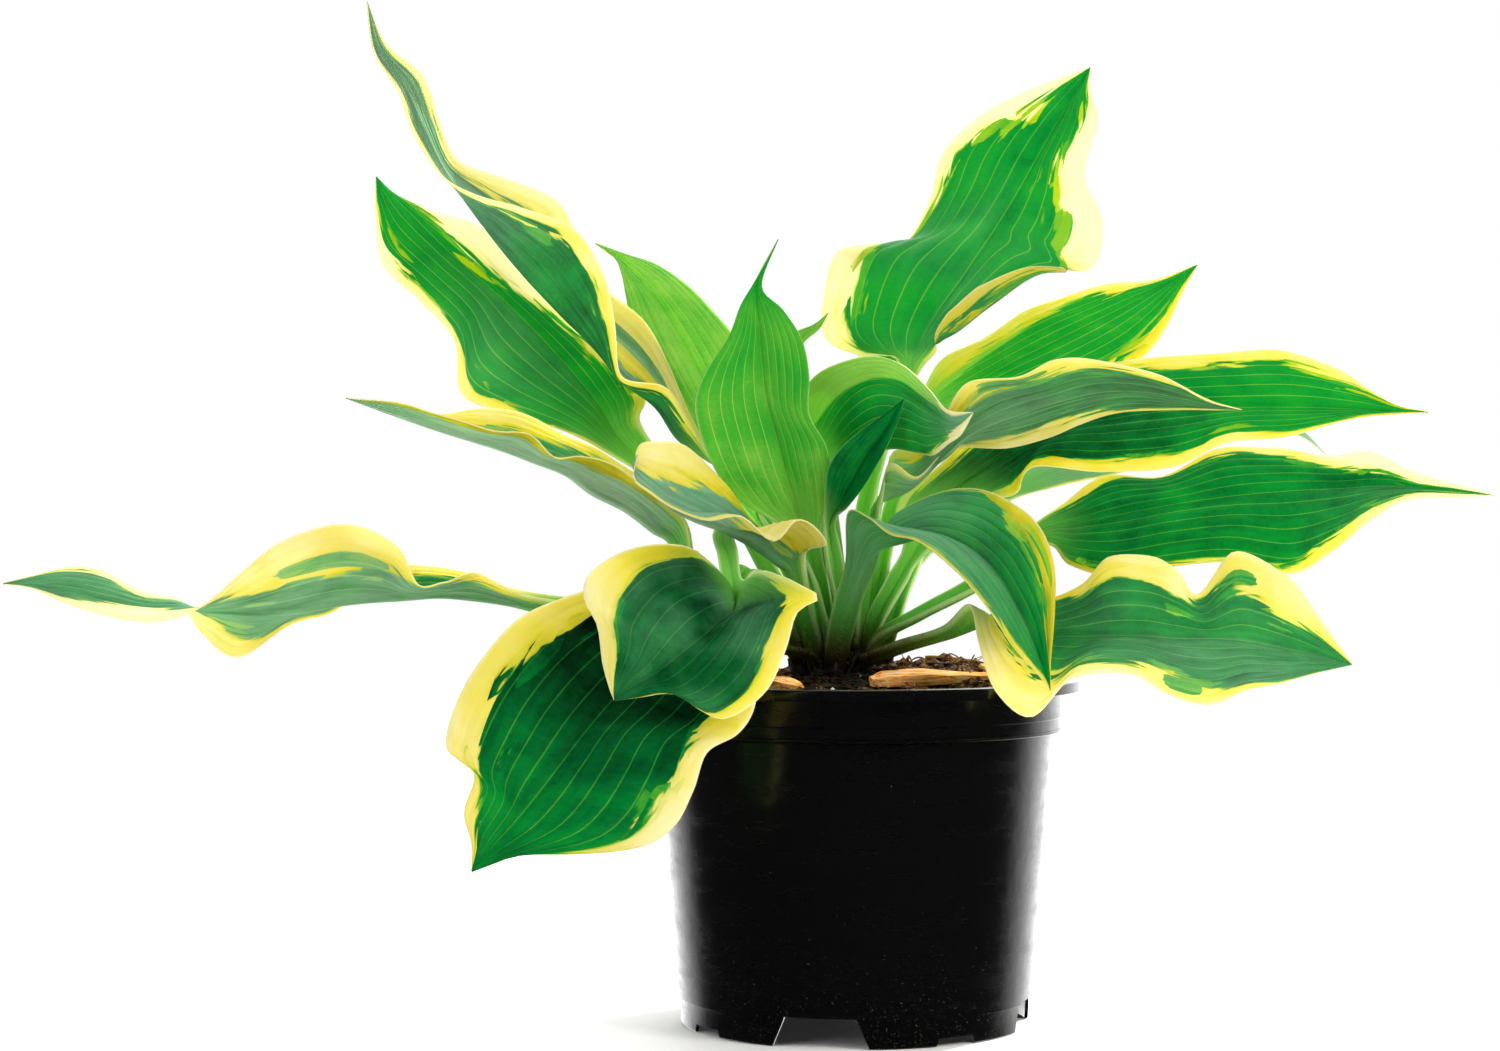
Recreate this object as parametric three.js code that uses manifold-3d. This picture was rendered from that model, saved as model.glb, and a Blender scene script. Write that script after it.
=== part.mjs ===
// A hosta in a black nursery pot, in mm, +Z up. The pot stands on its foot at z = 0, and -Y is the front.
import * as THREE from "three";
import { mergeVertices } from "three/addons/utils/BufferGeometryUtils.js";
import Module from "manifold-3d";

const wasm = await Module();
wasm.setup();

// Driving dimensions
const clearance = 0.3;
const pot = {
  lipRadius: 94.7, lipHeight: 143.4, lipDepth: 4.6, lipInner: 87.2, lipRound: 0.8,
  collarTop: 87, collarBottom: 85.8, collarFoot: 122.7, collarStep: 5.6, beadSize: 0.8,
  bodyTop: 82.4, bodyBottom: 73.6, footHeight: 11, footRadius: 73, wall: 1.4, floorHeight: 12.4, sides: 40,
};
const deepNotch = { centres: [-13, 77, 167, 257], bottom: 41, top: 29, height: 12 };
const shallowNotch = { centres: [-58, 32, 122, 212], bottom: 20, top: 17, height: 3.3 };
const notchCut = { outside: 6, through: 22, below: 2 };
const soil = {
  edgeHeight: 140.5, centreHeight: 143, edgeWidth: 40,
  moundHeight: 7, moundSpread: 30, moundX: 38, moundY: -5,
  sides: 36, rings: [0.18, 0.36, 0.54, 0.7, 0.84, 1], wallGap: 0.6, collarGap: 2.5,
};
const crown = { x: -9, y: 1, radius: 27, rim: 141.5, top: 144.5, depth: 14, shoulder: 0.75, sides: 24 };
const stalk = { footHalf: 2.7, half: 4.2, channel: 0.3, footThickness: 2.2, thickness: 3, sunk: 5, above: 3 };
const socket = { slackAlong: 1.7, slackAcross: 0.9, height: 20, sides: 10 };
const blade = { thickness: 0.8, bulge: 0.1, tipCut: 0.06, shares: [-1, -0.66, -0.3, 0, 0.3, 0.66, 1] };
const stemStep = 0.8;
const bladeStep = 0.95;

// The eye that read the leaves off the view from the front. A leaf's point is written as it is seen in the
// plane of the pot's axis, x and z, with its own depth behind that plane, so depth moves it along its ray.
const eye = new THREE.Vector3(-44, -1260, 207.5);
const seen = (x, z, depth) =>
  new THREE.Vector3(x, 0, z).sub(eye).multiplyScalar(1 - depth / eye.y).add(eye);

// Each row of a blade, from its base to its tip:
// left edge x, z and depth past the rib, then rib x, z and depth, then right edge x, z and depth past it.
// Left and right are as an ant sees them that walks up the leaf on its upper face.
const leaves = [
  // Lies far out to the left, its near half turned up, and twists over before the tip.
  {
    name: "leaf_left_low", foot: [-15, -19],
    stalk: [[-18, 152, -20], [-31, 156, -21], [-60, 164, -26], [-98, 172, -28]],
    rows: [
      [-128, 176, -5, -128, 172, -30, -130, 178, 5], [-145, 180, -9, -145, 175, -32, -148, 182, 9],
      [-160, 188, -11, -160, 177, -34, -166, 188, 13], [-172, 183, -13, -174, 178, -36, -180, 191, 13],
      [-183, 182, -15, -188, 177, -38, -192, 190, 15], [-192, 199, -14, -202, 176, -40, -205, 182, 18],
      [-214, 208, -12, -217, 174, -42, -220, 171, 20], [-240, 201, -12, -234, 171, -44, -237, 166, 18],
      [-257, 188, -12, -250, 170, -46, -259, 152, 12], [-271, 175, -12, -268, 171, -48, -274, 162, 12],
      [-283, 169, -12, -283, 173, -50, -284, 175, 12], [-298, 167, -11, -298, 173, -52, -299, 180, 10],
      [-316, 170, -8, -314, 176, -54, -317, 188, 8], [-332, 175, -5, -331, 180, -56, -331, 190, 5],
      [-346, 181, -2, -345, 182, -58, -346, 186, 2],
    ],
    tip: [-358, 183, -60],
  },
  // Tallest on the left, folded back along its rib and twisted towards a thread-like tip.
  {
    name: "leaf_left_tall", foot: [-16, 3],
    stalk: [[-19, 165, 6], [-32, 200, 8], [-50, 226, 11]],
    rows: [
      [-61, 240, 5, -64, 236, 14, -62, 239, -3], [-70, 256, 10, -75, 244, 16, -70, 252, -6],
      [-78, 275, 14, -84, 257, 18, -80, 266, -9], [-88, 293, 17, -98, 268, 20, -99, 270, -11],
      [-103, 305, 19, -110, 282, 22, -101, 294, -12], [-114, 316, 20, -125, 297, 24, -106, 314, -12],
      [-119, 334, 20, -140, 313, 26, -118, 332, -11], [-127, 345, 18, -153, 329, 28, -140, 341, -9],
      [-149, 354, 14, -164, 344, 30, -160, 347, -8], [-167, 362, 10, -173, 357, 32, -174, 355, -7],
      [-175, 379, 8, -181, 374, 34, -186, 373, -6], [-181, 396, 6, -189, 392, 36, -192, 390, -5],
      [-197, 410, 3, -200, 408, 38, -202, 406, -3],
    ],
    tip: [-205, 428, 40],
  },
  // Broad and open, with its upper face to the front.
  {
    name: "leaf_left_broad", foot: [-20, 12],
    stalk: [[-24, 170, 15], [-46, 205, 24], [-74, 223, 32]],
    rows: [
      [-101, 236, -2, -98, 243, 40, -90, 250, 3], [-122, 247, -8, -108, 259, 44, -88, 262, 6],
      [-152, 256, -14, -123, 277, 50, -99, 280, 9], [-166, 264, -17, -139, 294, 56, -115, 291, 8],
      [-168, 285, -13, -154, 308, 62, -137, 313, 9], [-183, 302, -10, -171, 323, 68, -157, 333, 9],
      [-198, 317, -6, -187, 339, 74, -177, 340, 6], [-201, 338, -2, -196, 348, 78, -192, 345, 3],
    ],
    tip: [-201, 354, 81],
  },
  // Long and low on the left, with its underside to the front.
  {
    name: "leaf_left_long", foot: [-23, 5],
    stalk: [[-25, 156, 5], [-44, 159, 2], [-66, 181, -4]],
    rows: [
      [-70, 206, -6, -76, 200, -5, -76, 212, 6], [-76, 214, -8, -84, 205, -6, -86, 224, 9],
      [-90, 226, -9, -96, 214, -7, -98, 233, 11], [-103, 234, -9, -110, 221, -8, -110, 241, 13],
      [-116, 237, -10, -121, 229, -9, -122, 246, 14], [-126, 236, -11, -134, 234, -10, -134, 252, 14],
      [-137, 246, -10, -147, 239, -11, -147, 256, 13], [-152, 247, -9, -160, 243, -12, -160, 257, 12],
      [-166, 251, -7, -173, 247, -13, -172, 254, 9], [-178, 255, -5, -185, 251, -14, -182, 254, 6],
      [-191, 259, -3, -197, 255, -15, -193, 257, 3],
    ],
    tip: [-214, 261, -16],
  },
  // Short and waved, over the front of the crown, folded along its rib.
  {
    name: "leaf_left_middle", foot: [-17, -10],
    stalk: [[-18, 156, -13], [-22, 172, -22]],
    rows: [
      [-21, 196, -6, -27, 188, -28, -35, 200, 5], [-12, 199, -9, -33, 192, -31, -40, 206, 8],
      [-15, 205, -11, -40, 197, -33, -46, 213, 10], [-24, 209, -12, -48, 202, -35, -52, 222, 12],
      [-34, 201, -13, -57, 206, -36, -59, 230, 13], [-47, 212, -12, -66, 209, -37, -66, 237, 13],
      [-62, 210, -11, -75, 213, -38, -74, 242, 12], [-76, 214, -9, -83, 219, -38, -82, 243, 10],
      [-86, 221, -6, -89, 226, -38, -89, 242, 7], [-93, 227, -3, -93, 232, -38, -92, 238, 3],
    ],
    tip: [-91, 237, -39],
  },
  // Hangs in front on a stalk that arches over, with two lobes at its base.
  {
    name: "leaf_front_small", foot: [-22, -2],
    stalk: [
      [-25, 164, -4], [-38, 191, -11], [-49, 208, -14], [-55, 203, -24], [-53, 194, -45],
      [-51, 182, -76],
    ],
    rows: [
      [-36, 188, -8, -50, 173, -102, -57, 188, 4], [-15, 178, -8, -53, 170, -105, -68, 198, 8],
      [-24, 171, -6, -58, 166, -107, -84, 200, 14], [-29, 155, -5, -65, 160, -109, -99, 196, 14],
      [-38, 137, -4, -74, 153, -111, -114, 183, -14], [-56, 126, -2, -83, 146, -112, -108, 166, -8],
      [-74, 136, -1, -91, 141, -113, -106, 150, 0], [-90, 135, 0, -98, 136, -113, -103, 139, 0],
    ],
    tip: [-101, 134, -113],
  },
  // The big one that hangs over the pot's lip at the front left.
  {
    name: "leaf_front_hanging", foot: [-23, -10],
    stalk: [[-28, 160, -10], [-38, 182, -28], [-46, 188, -48], [-52, 178, -64]],
    rows: [
      [-50, 160, -4, -68, 166, -76, -84, 180, 3], [-42, 145, -6, -78, 158, -83, -108, 182, 5],
      [-42, 131, -8, -90, 147, -88, -128, 175, 6], [-49, 120, -8, -102, 134, -93, -144, 166, 6],
      [-62, 112, -8, -113, 121, -98, -161, 145, 5], [-68, 96, -8, -123, 108, -101, -171, 122, 4],
      [-76, 81, -7, -133, 95, -104, -171, 112, 3], [-90, 72, -5, -142, 84, -106, -160, 103, 2],
      [-119, 69, -3, -151, 74, -107, -164, 87, 1], [-142, 68, -1, -157, 67, -108, -161, 74, 0],
    ],
    tip: [-161, 62, -108],
  },
  // Young and pale, upright in the middle, with a thread at its tip.
  {
    name: "leaf_centre_upright", foot: [-10, -4], lime: true,
    stalk: [[-10, 155, -5], [-14, 178, -6], [-18, 194, -7]],
    rows: [
      [-33, 208, -3, -22, 208, -8, -13, 207, -3], [-46, 216, -6, -25, 218, -8, -10, 215, -5],
      [-57, 228, -9, -29, 230, -8, -10, 228, -7], [-64, 243, -11, -33, 245, -7, -12, 241, -8],
      [-67, 259, -12, -37, 260, -6, -19, 254, -8], [-62, 273, -10, -39, 275, -4, -19, 270, -8],
      [-53, 287, -7, -40, 288, -2, -22, 285, -6], [-48, 300, -4, -41, 299, 0, -30, 298, -3],
      [-42, 310, -1, -41, 310, 1, -39, 308, -1],
    ],
    tip: [-32, 328, 3],
  },
  // Still rolled, dark, beside the upright one.
  {
    name: "leaf_spear", foot: [-3, -8],
    stalk: [[-5, 160, -7], [-9, 190, -10]],
    rows: [
      [-13, 209, -4, -11, 206, -13, -8, 209, -3], [-12, 222, -6, -7, 215, -14, -3, 215, -4],
      [-11, 232, -6, -2, 224, -15, 4, 224, -4], [-6, 240, -5, 4, 235, -17, 11, 236, -4],
      [2, 247, -4, 11, 245, -18, 15, 244, -3], [12, 254, -2, 16, 253, -18, 18, 251, -2],
    ],
    tip: [21, 261, -18],
  },
  // Arches over to the right, with a pale curled tip.
  {
    name: "leaf_centre_arching", foot: [-5, 1],
    stalk: [[-6, 165, 3], [-10, 200, 7], [-13, 228, 9]],
    rows: [
      [-22, 243, 5, -14, 240, 9, -6, 236, 0], [-24, 256, 7, -10, 250, 8, 2, 238, -1],
      [-18, 269, 9, -3, 260, 4, 10, 239, -2], [-6, 276, 10, 6, 266, -1, 18, 240, -7],
      [8, 279, 10, 16, 266, -7, 26, 238, -11], [20, 275, 9, 26, 261, -14, 33, 237, -9],
      [32, 264, 6, 35, 254, -25, 40, 242, -6], [39, 256, 2, 42, 251, -34, 45, 246, -2],
    ],
    tip: [50, 255, -38],
  },
  // Tallest on the right, wide at its base.
  {
    name: "leaf_right_tall", foot: [-2, 9],
    stalk: [[-1, 175, 14], [5, 215, 20], [16, 255, 27]],
    rows: [
      [18, 277, 4, 23, 275, 30, 28, 273, -3], [2, 279, 10, 26, 281, 33, 34, 280, -6],
      [-12, 286, 14, 30, 289, 37, 36, 285, -9], [-13, 302, 17, 36, 299, 42, 44, 290, -12],
      [-8, 321, 19, 44, 310, 48, 58, 301, -14], [5, 325, 19, 52, 322, 54, 77, 313, -15],
      [21, 326, 18, 60, 334, 60, 100, 316, -15], [31, 343, 16, 68, 347, 67, 104, 337, -13],
      [37, 363, 13, 76, 361, 74, 97, 356, -9], [52, 379, 9, 84, 375, 81, 102, 377, -6],
      [75, 391, 5, 92, 388, 88, 99, 390, -3],
    ],
    tip: [99, 400, 94],
  },
  // Points up to the right, behind the grey one.
  {
    name: "leaf_right_upper", foot: [6, 5],
    stalk: [[9, 172, 7], [16, 212, 19], [26, 243, 30]],
    rows: [
      [30, 266, 5, 34, 258, 36, 42, 252, -4], [38, 278, 8, 48, 266, 40, 62, 256, -6],
      [55, 287, 10, 64, 275, 44, 84, 262, -8], [72, 298, 11, 82, 284, 48, 104, 268, -8],
      [90, 304, 10, 100, 293, 52, 121, 278, -7], [108, 309, 7, 116, 301, 55, 131, 291, -5],
      [127, 311, 3, 131, 309, 58, 138, 306, -2],
    ],
    tip: [144, 317, 60],
  },
  // Long and level on the right.
  {
    name: "leaf_right_far", foot: [5, -4], half: 5,
    stalk: [[9, 165, -5], [18, 183, 1], [25, 196, 7]],
    rows: [
      [18, 217, -7, 39, 219, 12, 54, 216, -5], [38, 235, 0, 56, 232, 14, 68, 221, -8],
      [68, 262, 14, 86, 247, 16, 75, 232, -10], [92, 273, 16, 112, 253, 16, 104, 230, -12],
      [122, 278, 17, 138, 256, 15, 134, 232, -13], [150, 280, 16, 164, 257, 13, 156, 242, -11],
      [178, 281, 14, 190, 257, 11, 182, 245, -9], [205, 272, 9, 214, 256, 9, 208, 252, -5],
      [226, 259, 4, 230, 255, 7, 226, 254, -2],
    ],
    tip: [241, 255, 6],
  },
  // Long, shows its grey underside, and lies over the far one.
  {
    name: "leaf_right_grey", foot: [0, -1],
    stalk: [[3, 168, 0], [6, 193, -1], [8, 206, -2]],
    rows: [
      [14, 233, -5, 10, 216, -3, 15, 237, 5], [26, 228, -4, 23, 222, -4, 26, 239, 4],
      [36, 237, 1, 37, 235, -7, 34, 248, -1], [46, 240, 7, 50, 247, -12, 39, 256, -7],
      [64, 240, 10, 68, 254, -18, 48, 268, -11], [80, 244, 11, 86, 260, -21, 68, 270, -12],
      [95, 250, 11, 104, 264, -23, 84, 277, -12], [112, 255, 9, 122, 264, -24, 106, 276, -10],
      [132, 256, 6, 138, 261, -24, 128, 271, -7], [150, 256, 3, 152, 258, -24, 148, 260, -3],
    ],
    tip: [163, 256, -24],
  },
  // Longest on the right, level with the pot's lip and above.
  {
    name: "leaf_right_broad", foot: [4, -12], half: 5,
    stalk: [[9, 159, -15], [28, 170, -19], [54, 184, -22]],
    rows: [
      [76, 208, 6, 76, 204, -24, 80, 199, -5], [88, 217, 11, 96, 209, -28, 90, 191, -10],
      [104, 227, 14, 116, 213, -32, 108, 186, -13], [128, 228, 15, 138, 217, -36, 132, 190, -14],
      [152, 240, 16, 160, 220, -40, 156, 192, -14], [176, 240, 16, 182, 222, -44, 183, 187, -13],
      [198, 237, 13, 204, 223, -47, 200, 196, -10], [216, 239, 9, 222, 224, -50, 216, 209, -7],
      [233, 231, 5, 238, 223, -52, 232, 218, -4], [252, 225, 2, 254, 222, -54, 252, 219, -2],
    ],
    tip: [269, 220, -56],
  },
  // Lowest on the right, with a deep wave in each edge and a lobe at its base.
  {
    name: "leaf_right_low", foot: [-2, -18], half: 5,
    stalk: [[1, 148, -23], [20, 156, -37], [40, 162, -54]],
    rows: [
      [60, 171, 4, 57, 167, -64, 48, 174, -5], [70, 176, 7, 68, 163, -68, 52, 158, -8],
      [84, 177, 10, 82, 161, -72, 59, 138, -10], [96, 183, 12, 95, 161, -76, 74, 127, -11],
      [106, 195, 14, 108, 161, -79, 91, 143, -12], [124, 195, 14, 122, 161, -82, 116, 145, -12],
      [135, 188, 12, 136, 160, -85, 132, 136, -12], [144, 179, 10, 150, 160, -88, 149, 132, -11],
      [159, 197, 9, 164, 159, -90, 164, 138, -9], [180, 187, 6, 180, 156, -92, 178, 141, -6],
      [193, 172, 3, 194, 153, -94, 192, 145, -3],
    ],
    tip: [209, 149, -96],
  },
  // Arches to the front right on a broad channelled stalk, and its tip hangs.
  {
    name: "leaf_front_arching", foot: [-8, -14], half: 5,
    stalk: [[-7, 155, -16]],
    rows: [
      [3, 175, 2, -3, 172, -22, -9, 175, 2], [9, 190, 1, 2, 186, -28, -4, 192, 1],
      [14, 208, 6, 10, 197, -34, -3, 213, -4], [22, 216, 8, 20, 201, -42, 6, 211, -6],
      [38, 222, 9, 33, 203, -52, 15, 204, -8], [55, 222, 10, 48, 198, -64, 28, 200, -8],
      [70, 215, 10, 60, 187, -76, 44, 187, -8], [79, 205, 9, 68, 174, -86, 56, 172, -7],
      [84, 190, 7, 74, 162, -93, 66, 157, -5], [84, 172, 5, 78, 151, -98, 75, 147, -3],
      [82, 152, 2, 81, 143, -101, 80, 141, -1],
    ],
    tip: [82, 138, -102],
  },
  // Pale, behind the tall left one.
  {
    name: "leaf_back_lime", foot: [-15, 10], lime: true,
    stalk: [[-15, 168, 16], [-26, 205, 24]],
    rows: [
      [-58, 232, -3, -48, 236, 32, -40, 244, 3], [-72, 250, -6, -56, 252, 38, -42, 262, 5],
      [-84, 270, -8, -66, 272, 45, -47, 280, 7], [-93, 288, -8, -76, 290, 52, -57, 295, 7],
      [-96, 303, -6, -86, 305, 59, -70, 308, 6], [-98, 313, -4, -94, 314, 65, -83, 317, 4],
      [-101, 320, -1, -100, 320, 69, -95, 321, 1],
    ],
    tip: [-109, 326, 72],
  },
  // Small tip behind the upright one.
  {
    name: "leaf_young", foot: [-10, 5], lime: true,
    stalk: [[-11, 175, 9], [-17, 225, 20]],
    rows: [
      [-28, 247, -2, -22, 246, 26, -17, 245, -2], [-36, 262, -3, -26, 262, 28, -20, 260, -3],
      [-36, 276, -3, -28, 275, 30, -22, 271, -3], [-28, 287, -2, -25, 284, 31, -22, 283, -1],
      [-17, 292, 0, -16, 291, 32, -15, 290, 0],
    ],
    tip: [-11, 297, 33],
  },
  // Pale, seen between two leaves on the right.
  {
    name: "leaf_right_behind", foot: [11, -1],
    stalk: [[16, 165, -3], [22, 184, 17], [32, 202, 38]],
    rows: [
      [60, 222, 4, 62, 218, 54, 65, 218, -3], [76, 233, 6, 82, 229, 56, 86, 224, -5],
      [104, 244, 8, 110, 237, 58, 113, 230, -7], [134, 254, 8, 140, 246, 60, 142, 238, -7],
      [162, 256, 6, 168, 250, 62, 170, 246, -5], [184, 250, 2, 186, 247, 63, 187, 245, -2],
    ],
    tip: [198, 237, 64],
  },
  // Back of the plant, hidden in the photograph, guessed.
  {
    name: "leaf_back_1", foot: [-6, 20],
    stalk: [[-6, 170, 28], [-18, 205, 40]],
    rows: [
      [-32, 222, -2, -28, 222, 58, -24, 223, 2], [-52, 232, 0, -40, 236, 76, -28, 238, 4],
      [-62, 244, 0, -46, 248, 98, -30, 250, 6], [-62, 254, 0, -48, 257, 122, -34, 258, 6],
      [-58, 258, 0, -48, 261, 146, -38, 262, 5], [-50, 258, 0, -47, 259, 168, -42, 260, 3],
    ],
    tip: [-45, 255, 186],
  },
  // Back of the plant, hidden in the photograph, guessed.
  {
    name: "leaf_back_2", foot: [1, 16],
    stalk: [[3, 180, 24], [7, 227, 50]],
    rows: [
      [10, 258, 0, 16, 259, 84, 22, 259, 0], [-1, 284, 0, 15, 284, 100, 31, 283, 0],
      [-5, 300, 0, 17, 300, 122, 41, 302, 0], [-1, 308, 0, 21, 310, 146, 43, 312, 0],
      [11, 310, 0, 25, 314, 168, 41, 316, 0], [25, 312, 0, 31, 313, 188, 39, 314, 0],
    ],
    tip: [36, 308, 204],
  },
  // Back of the plant, hidden in the photograph, guessed.
  {
    name: "leaf_back_3", foot: [-17, 19],
    stalk: [[-22, 175, 26], [-48, 217, 58], [-76, 228, 80]],
    rows: [
      [-102, 237, -4, -98, 240, 96, -94, 243, 0], [-113, 250, -6, -105, 257, 110, -98, 262, 0],
      [-126, 268, -8, -114, 277, 126, -102, 285, 0], [-140, 276, -8, -128, 285, 142, -116, 292, 0],
      [-148, 284, -6, -140, 290, 156, -132, 296, 0], [-154, 290, -2, -150, 292, 166, -146, 295, 0],
    ],
    tip: [-158, 292, 172],
  },
  // Back of the plant, hidden in the photograph, guessed.
  {
    name: "leaf_back_4", foot: [8, 13],
    stalk: [[14, 169, 20], [21, 187, 46]],
    rows: [
      [66, 236, 2, 70, 235, 96, 72, 234, -2], [84, 248, 6, 92, 246, 108, 98, 242, -4],
      [104, 256, 8, 116, 252, 122, 122, 244, -6], [128, 262, 8, 140, 256, 136, 144, 248, -6],
      [152, 264, 6, 162, 259, 148, 166, 253, -4], [176, 262, 2, 180, 260, 158, 183, 257, -2],
    ],
    tip: [194, 258, 164],
  },
];

const along = (points, t) => {
  const last = points.length - 1;
  const i = Math.min(Math.floor(t), last - 1);
  const f = t - i;
  const [b, c] = [points[i], points[i + 1]];
  const a = i > 0 ? points[i - 1] : b.clone().multiplyScalar(2).sub(c);
  const d = i + 1 < last ? points[i + 2] : c.clone().multiplyScalar(2).sub(b);
  const mix = (k) => 0.5 * (2 * b[k] + (c[k] - a[k]) * f + (2 * a[k] - 5 * b[k] + 4 * c[k] - d[k]) * f * f
    + (3 * b[k] - a[k] - 3 * c[k] + d[k]) * f * f * f);
  return new THREE.Vector3(mix("x"), mix("y"), mix("z"));
};

const direction = (from, to) => to.clone().sub(from).normalize();

// The side of a stalk's foot: level, and square to the way the leaf grows.
function footSide(leaf, bladeBase) {
  const away = new THREE.Vector3(bladeBase.x - leaf.foot[0], bladeBase.y - leaf.foot[1], 0).normalize();
  return away.cross(new THREE.Vector3(0, 0, 1)).normalize();
}

// Left edge, rib and right edge from the foot in the crown to the tip of the blade.
function railsOf(leaf) {
  const [footX, footY] = leaf.foot;
  const base = leaf.rows.map(([lx, lz, ld, x, z, depth, rx, rz, rd]) =>
    [seen(lx, lz, depth + ld), seen(x, z, depth), seen(rx, rz, depth + rd)]);
  const stem = [-stalk.sunk, stalk.above].map((rise) => new THREE.Vector3(footX, footY, crown.rim + rise));
  stem.push(...leaf.stalk.map((p) => seen(...p)));
  const middle = [...stem, ...base.map((row) => row[1])];
  const low = footSide(leaf, base[0][1]);
  const high = direction(base[0][0], base[0][2]);
  const rows = stem.map((p, i) => {
    const tangent = direction(middle[Math.max(i - 1, 0)], middle[i + 1]);
    const share = (i / stem.length) ** 1.5;
    const side = low.clone().multiplyScalar(1 - share).addScaledVector(high, share);
    side.addScaledVector(tangent, -side.dot(tangent)).normalize();
    const raised = side.clone().cross(tangent);
    const half = i < 2 ? stalk.footHalf : leaf.half ?? stalk.half;
    const lift = i < 2 ? 0 : half * stalk.channel;
    const edge = (sign) => p.clone().addScaledVector(side, sign * half).addScaledVector(raised, lift);
    return [edge(-1), p, edge(1)];
  });
  const tip = seen(...leaf.tip);
  return { rows: [...rows, ...base, [tip, tip, tip]], stemRows: stem.length };
}

// Where the sheet is cut across, counted in rows from the foot.
function stationsOf(count, stemRows) {
  const stemCuts = Math.round((stemRows - 1) / stemStep);
  const bladeCuts = Math.round((count - stemRows) / bladeStep);
  const bladeRows = count - stemRows - blade.tipCut;
  const list = [0];
  for (let i = 0; i < stemCuts; i += 1) list.push(1 + ((stemRows - 1) * i) / stemCuts);
  for (let i = 0; i <= bladeCuts; i += 1) list.push(stemRows + (bladeRows * i) / bladeCuts);
  return list;
}

// The sheet between the rails, as points, with the thickness of the leaf at each station. Each half of the
// blade bulges up between the rib and its edge.
function sheetOf(leaf) {
  const { rows, stemRows } = railsOf(leaf);
  const [left, rib, right] = [0, 1, 2].map((k) => rows.map((row) => row[k]));
  const last = rows.length - 1;
  const near = 0.02;
  return stationsOf(last, stemRows).map((t) => {
    const [l, m, r] = [along(left, t), along(rib, t), along(right, t)];
    const tangent = direction(along(rib, Math.max(t - near, 0)), along(rib, Math.min(t + near, last)));
    const points = blade.shares.map((share) => {
      const edge = share < 0 ? l : r;
      const across = edge.clone().sub(m);
      const up = across.clone().multiplyScalar(Math.sign(share)).cross(tangent).normalize();
      const size = Math.abs(share);
      return m.clone().addScaledVector(across, size)
        .addScaledVector(up, across.length() * blade.bulge * 4 * size * (1 - size));
    });
    const thin = THREE.MathUtils.smoothstep(t, stemRows - 1, stemRows + 1.5);
    const risen = THREE.MathUtils.smoothstep(t, 1, 2);
    const stem = THREE.MathUtils.lerp(stalk.footThickness, stalk.thickness, risen);
    return { points, thickness: THREE.MathUtils.lerp(stem, blade.thickness, thin) };
  });
}

// A closed solid from a sheet: both faces are split along the same diagonals, and a strip closes the rim.
function leafGeometry(leaf) {
  const sheet = sheetOf(leaf);
  const [n, m] = [sheet.length, blade.shares.length];
  const at = (i, j) => sheet[Math.min(Math.max(i, 0), n - 1)].points[Math.min(Math.max(j, 0), m - 1)];
  const positions = [];
  for (const sign of [1, -1]) {
    for (let i = 0; i < n; i += 1) {
      for (let j = 0; j < m; j += 1) {
        const across = at(i, j + 1).clone().sub(at(i, j - 1));
        const up = across.cross(at(i + 1, j).clone().sub(at(i - 1, j))).normalize();
        positions.push(...at(i, j).clone().addScaledVector(up, (sign * sheet[i].thickness) / 2).toArray());
      }
    }
  }
  const index = [];
  const quad = (a, b, c, d) => index.push(a, b, c, a, c, d);
  const upper = (i, j) => i * m + j;
  const lower = (i, j) => n * m + i * m + j;
  for (let i = 0; i < n - 1; i += 1) {
    for (let j = 0; j < m - 1; j += 1) {
      quad(upper(i, j), upper(i, j + 1), upper(i + 1, j + 1), upper(i + 1, j));
      index.push(lower(i, j), lower(i + 1, j + 1), lower(i, j + 1));
      index.push(lower(i, j), lower(i + 1, j), lower(i + 1, j + 1));
    }
    quad(lower(i, 0), upper(i, 0), upper(i + 1, 0), lower(i + 1, 0));
    quad(upper(i, m - 1), lower(i, m - 1), lower(i + 1, m - 1), upper(i + 1, m - 1));
  }
  for (let j = 0; j < m - 1; j += 1) {
    quad(lower(0, j), lower(0, j + 1), upper(0, j + 1), upper(0, j));
    quad(upper(n - 1, j), upper(n - 1, j + 1), lower(n - 1, j + 1), lower(n - 1, j));
  }
  const geometry = new THREE.BufferGeometry();
  geometry.setAttribute("position", new THREE.Float32BufferAttribute(positions, 3));
  geometry.setIndex(index);
  geometry.computeVertexNormals();
  return geometry;
}

// Solids for cutting
function solidOf(geometry) {
  const bare = geometry.clone();
  for (const name of Object.keys(bare.attributes)) if (name !== "position") bare.deleteAttribute(name);
  const merged = mergeVertices(bare, 1e-4);
  const vertProperties = merged.attributes.position.array;
  const triVerts = new Uint32Array(merged.index.array);
  return new wasm.Manifold(new wasm.Mesh({ numProp: 3, vertProperties, triVerts }));
}

function geometryOf(solid) {
  const mesh = solid.getMesh();
  const geometry = new THREE.BufferGeometry();
  geometry.setAttribute("position", new THREE.Float32BufferAttribute(mesh.vertProperties, 3));
  geometry.setIndex(Array.from(mesh.triVerts));
  geometry.computeVertexNormals();
  return geometry;
}

// A lathe and a cylinder stand along Y, and the plant along Z.
const standing = (geometry) => geometry.rotateX(Math.PI / 2);

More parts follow.
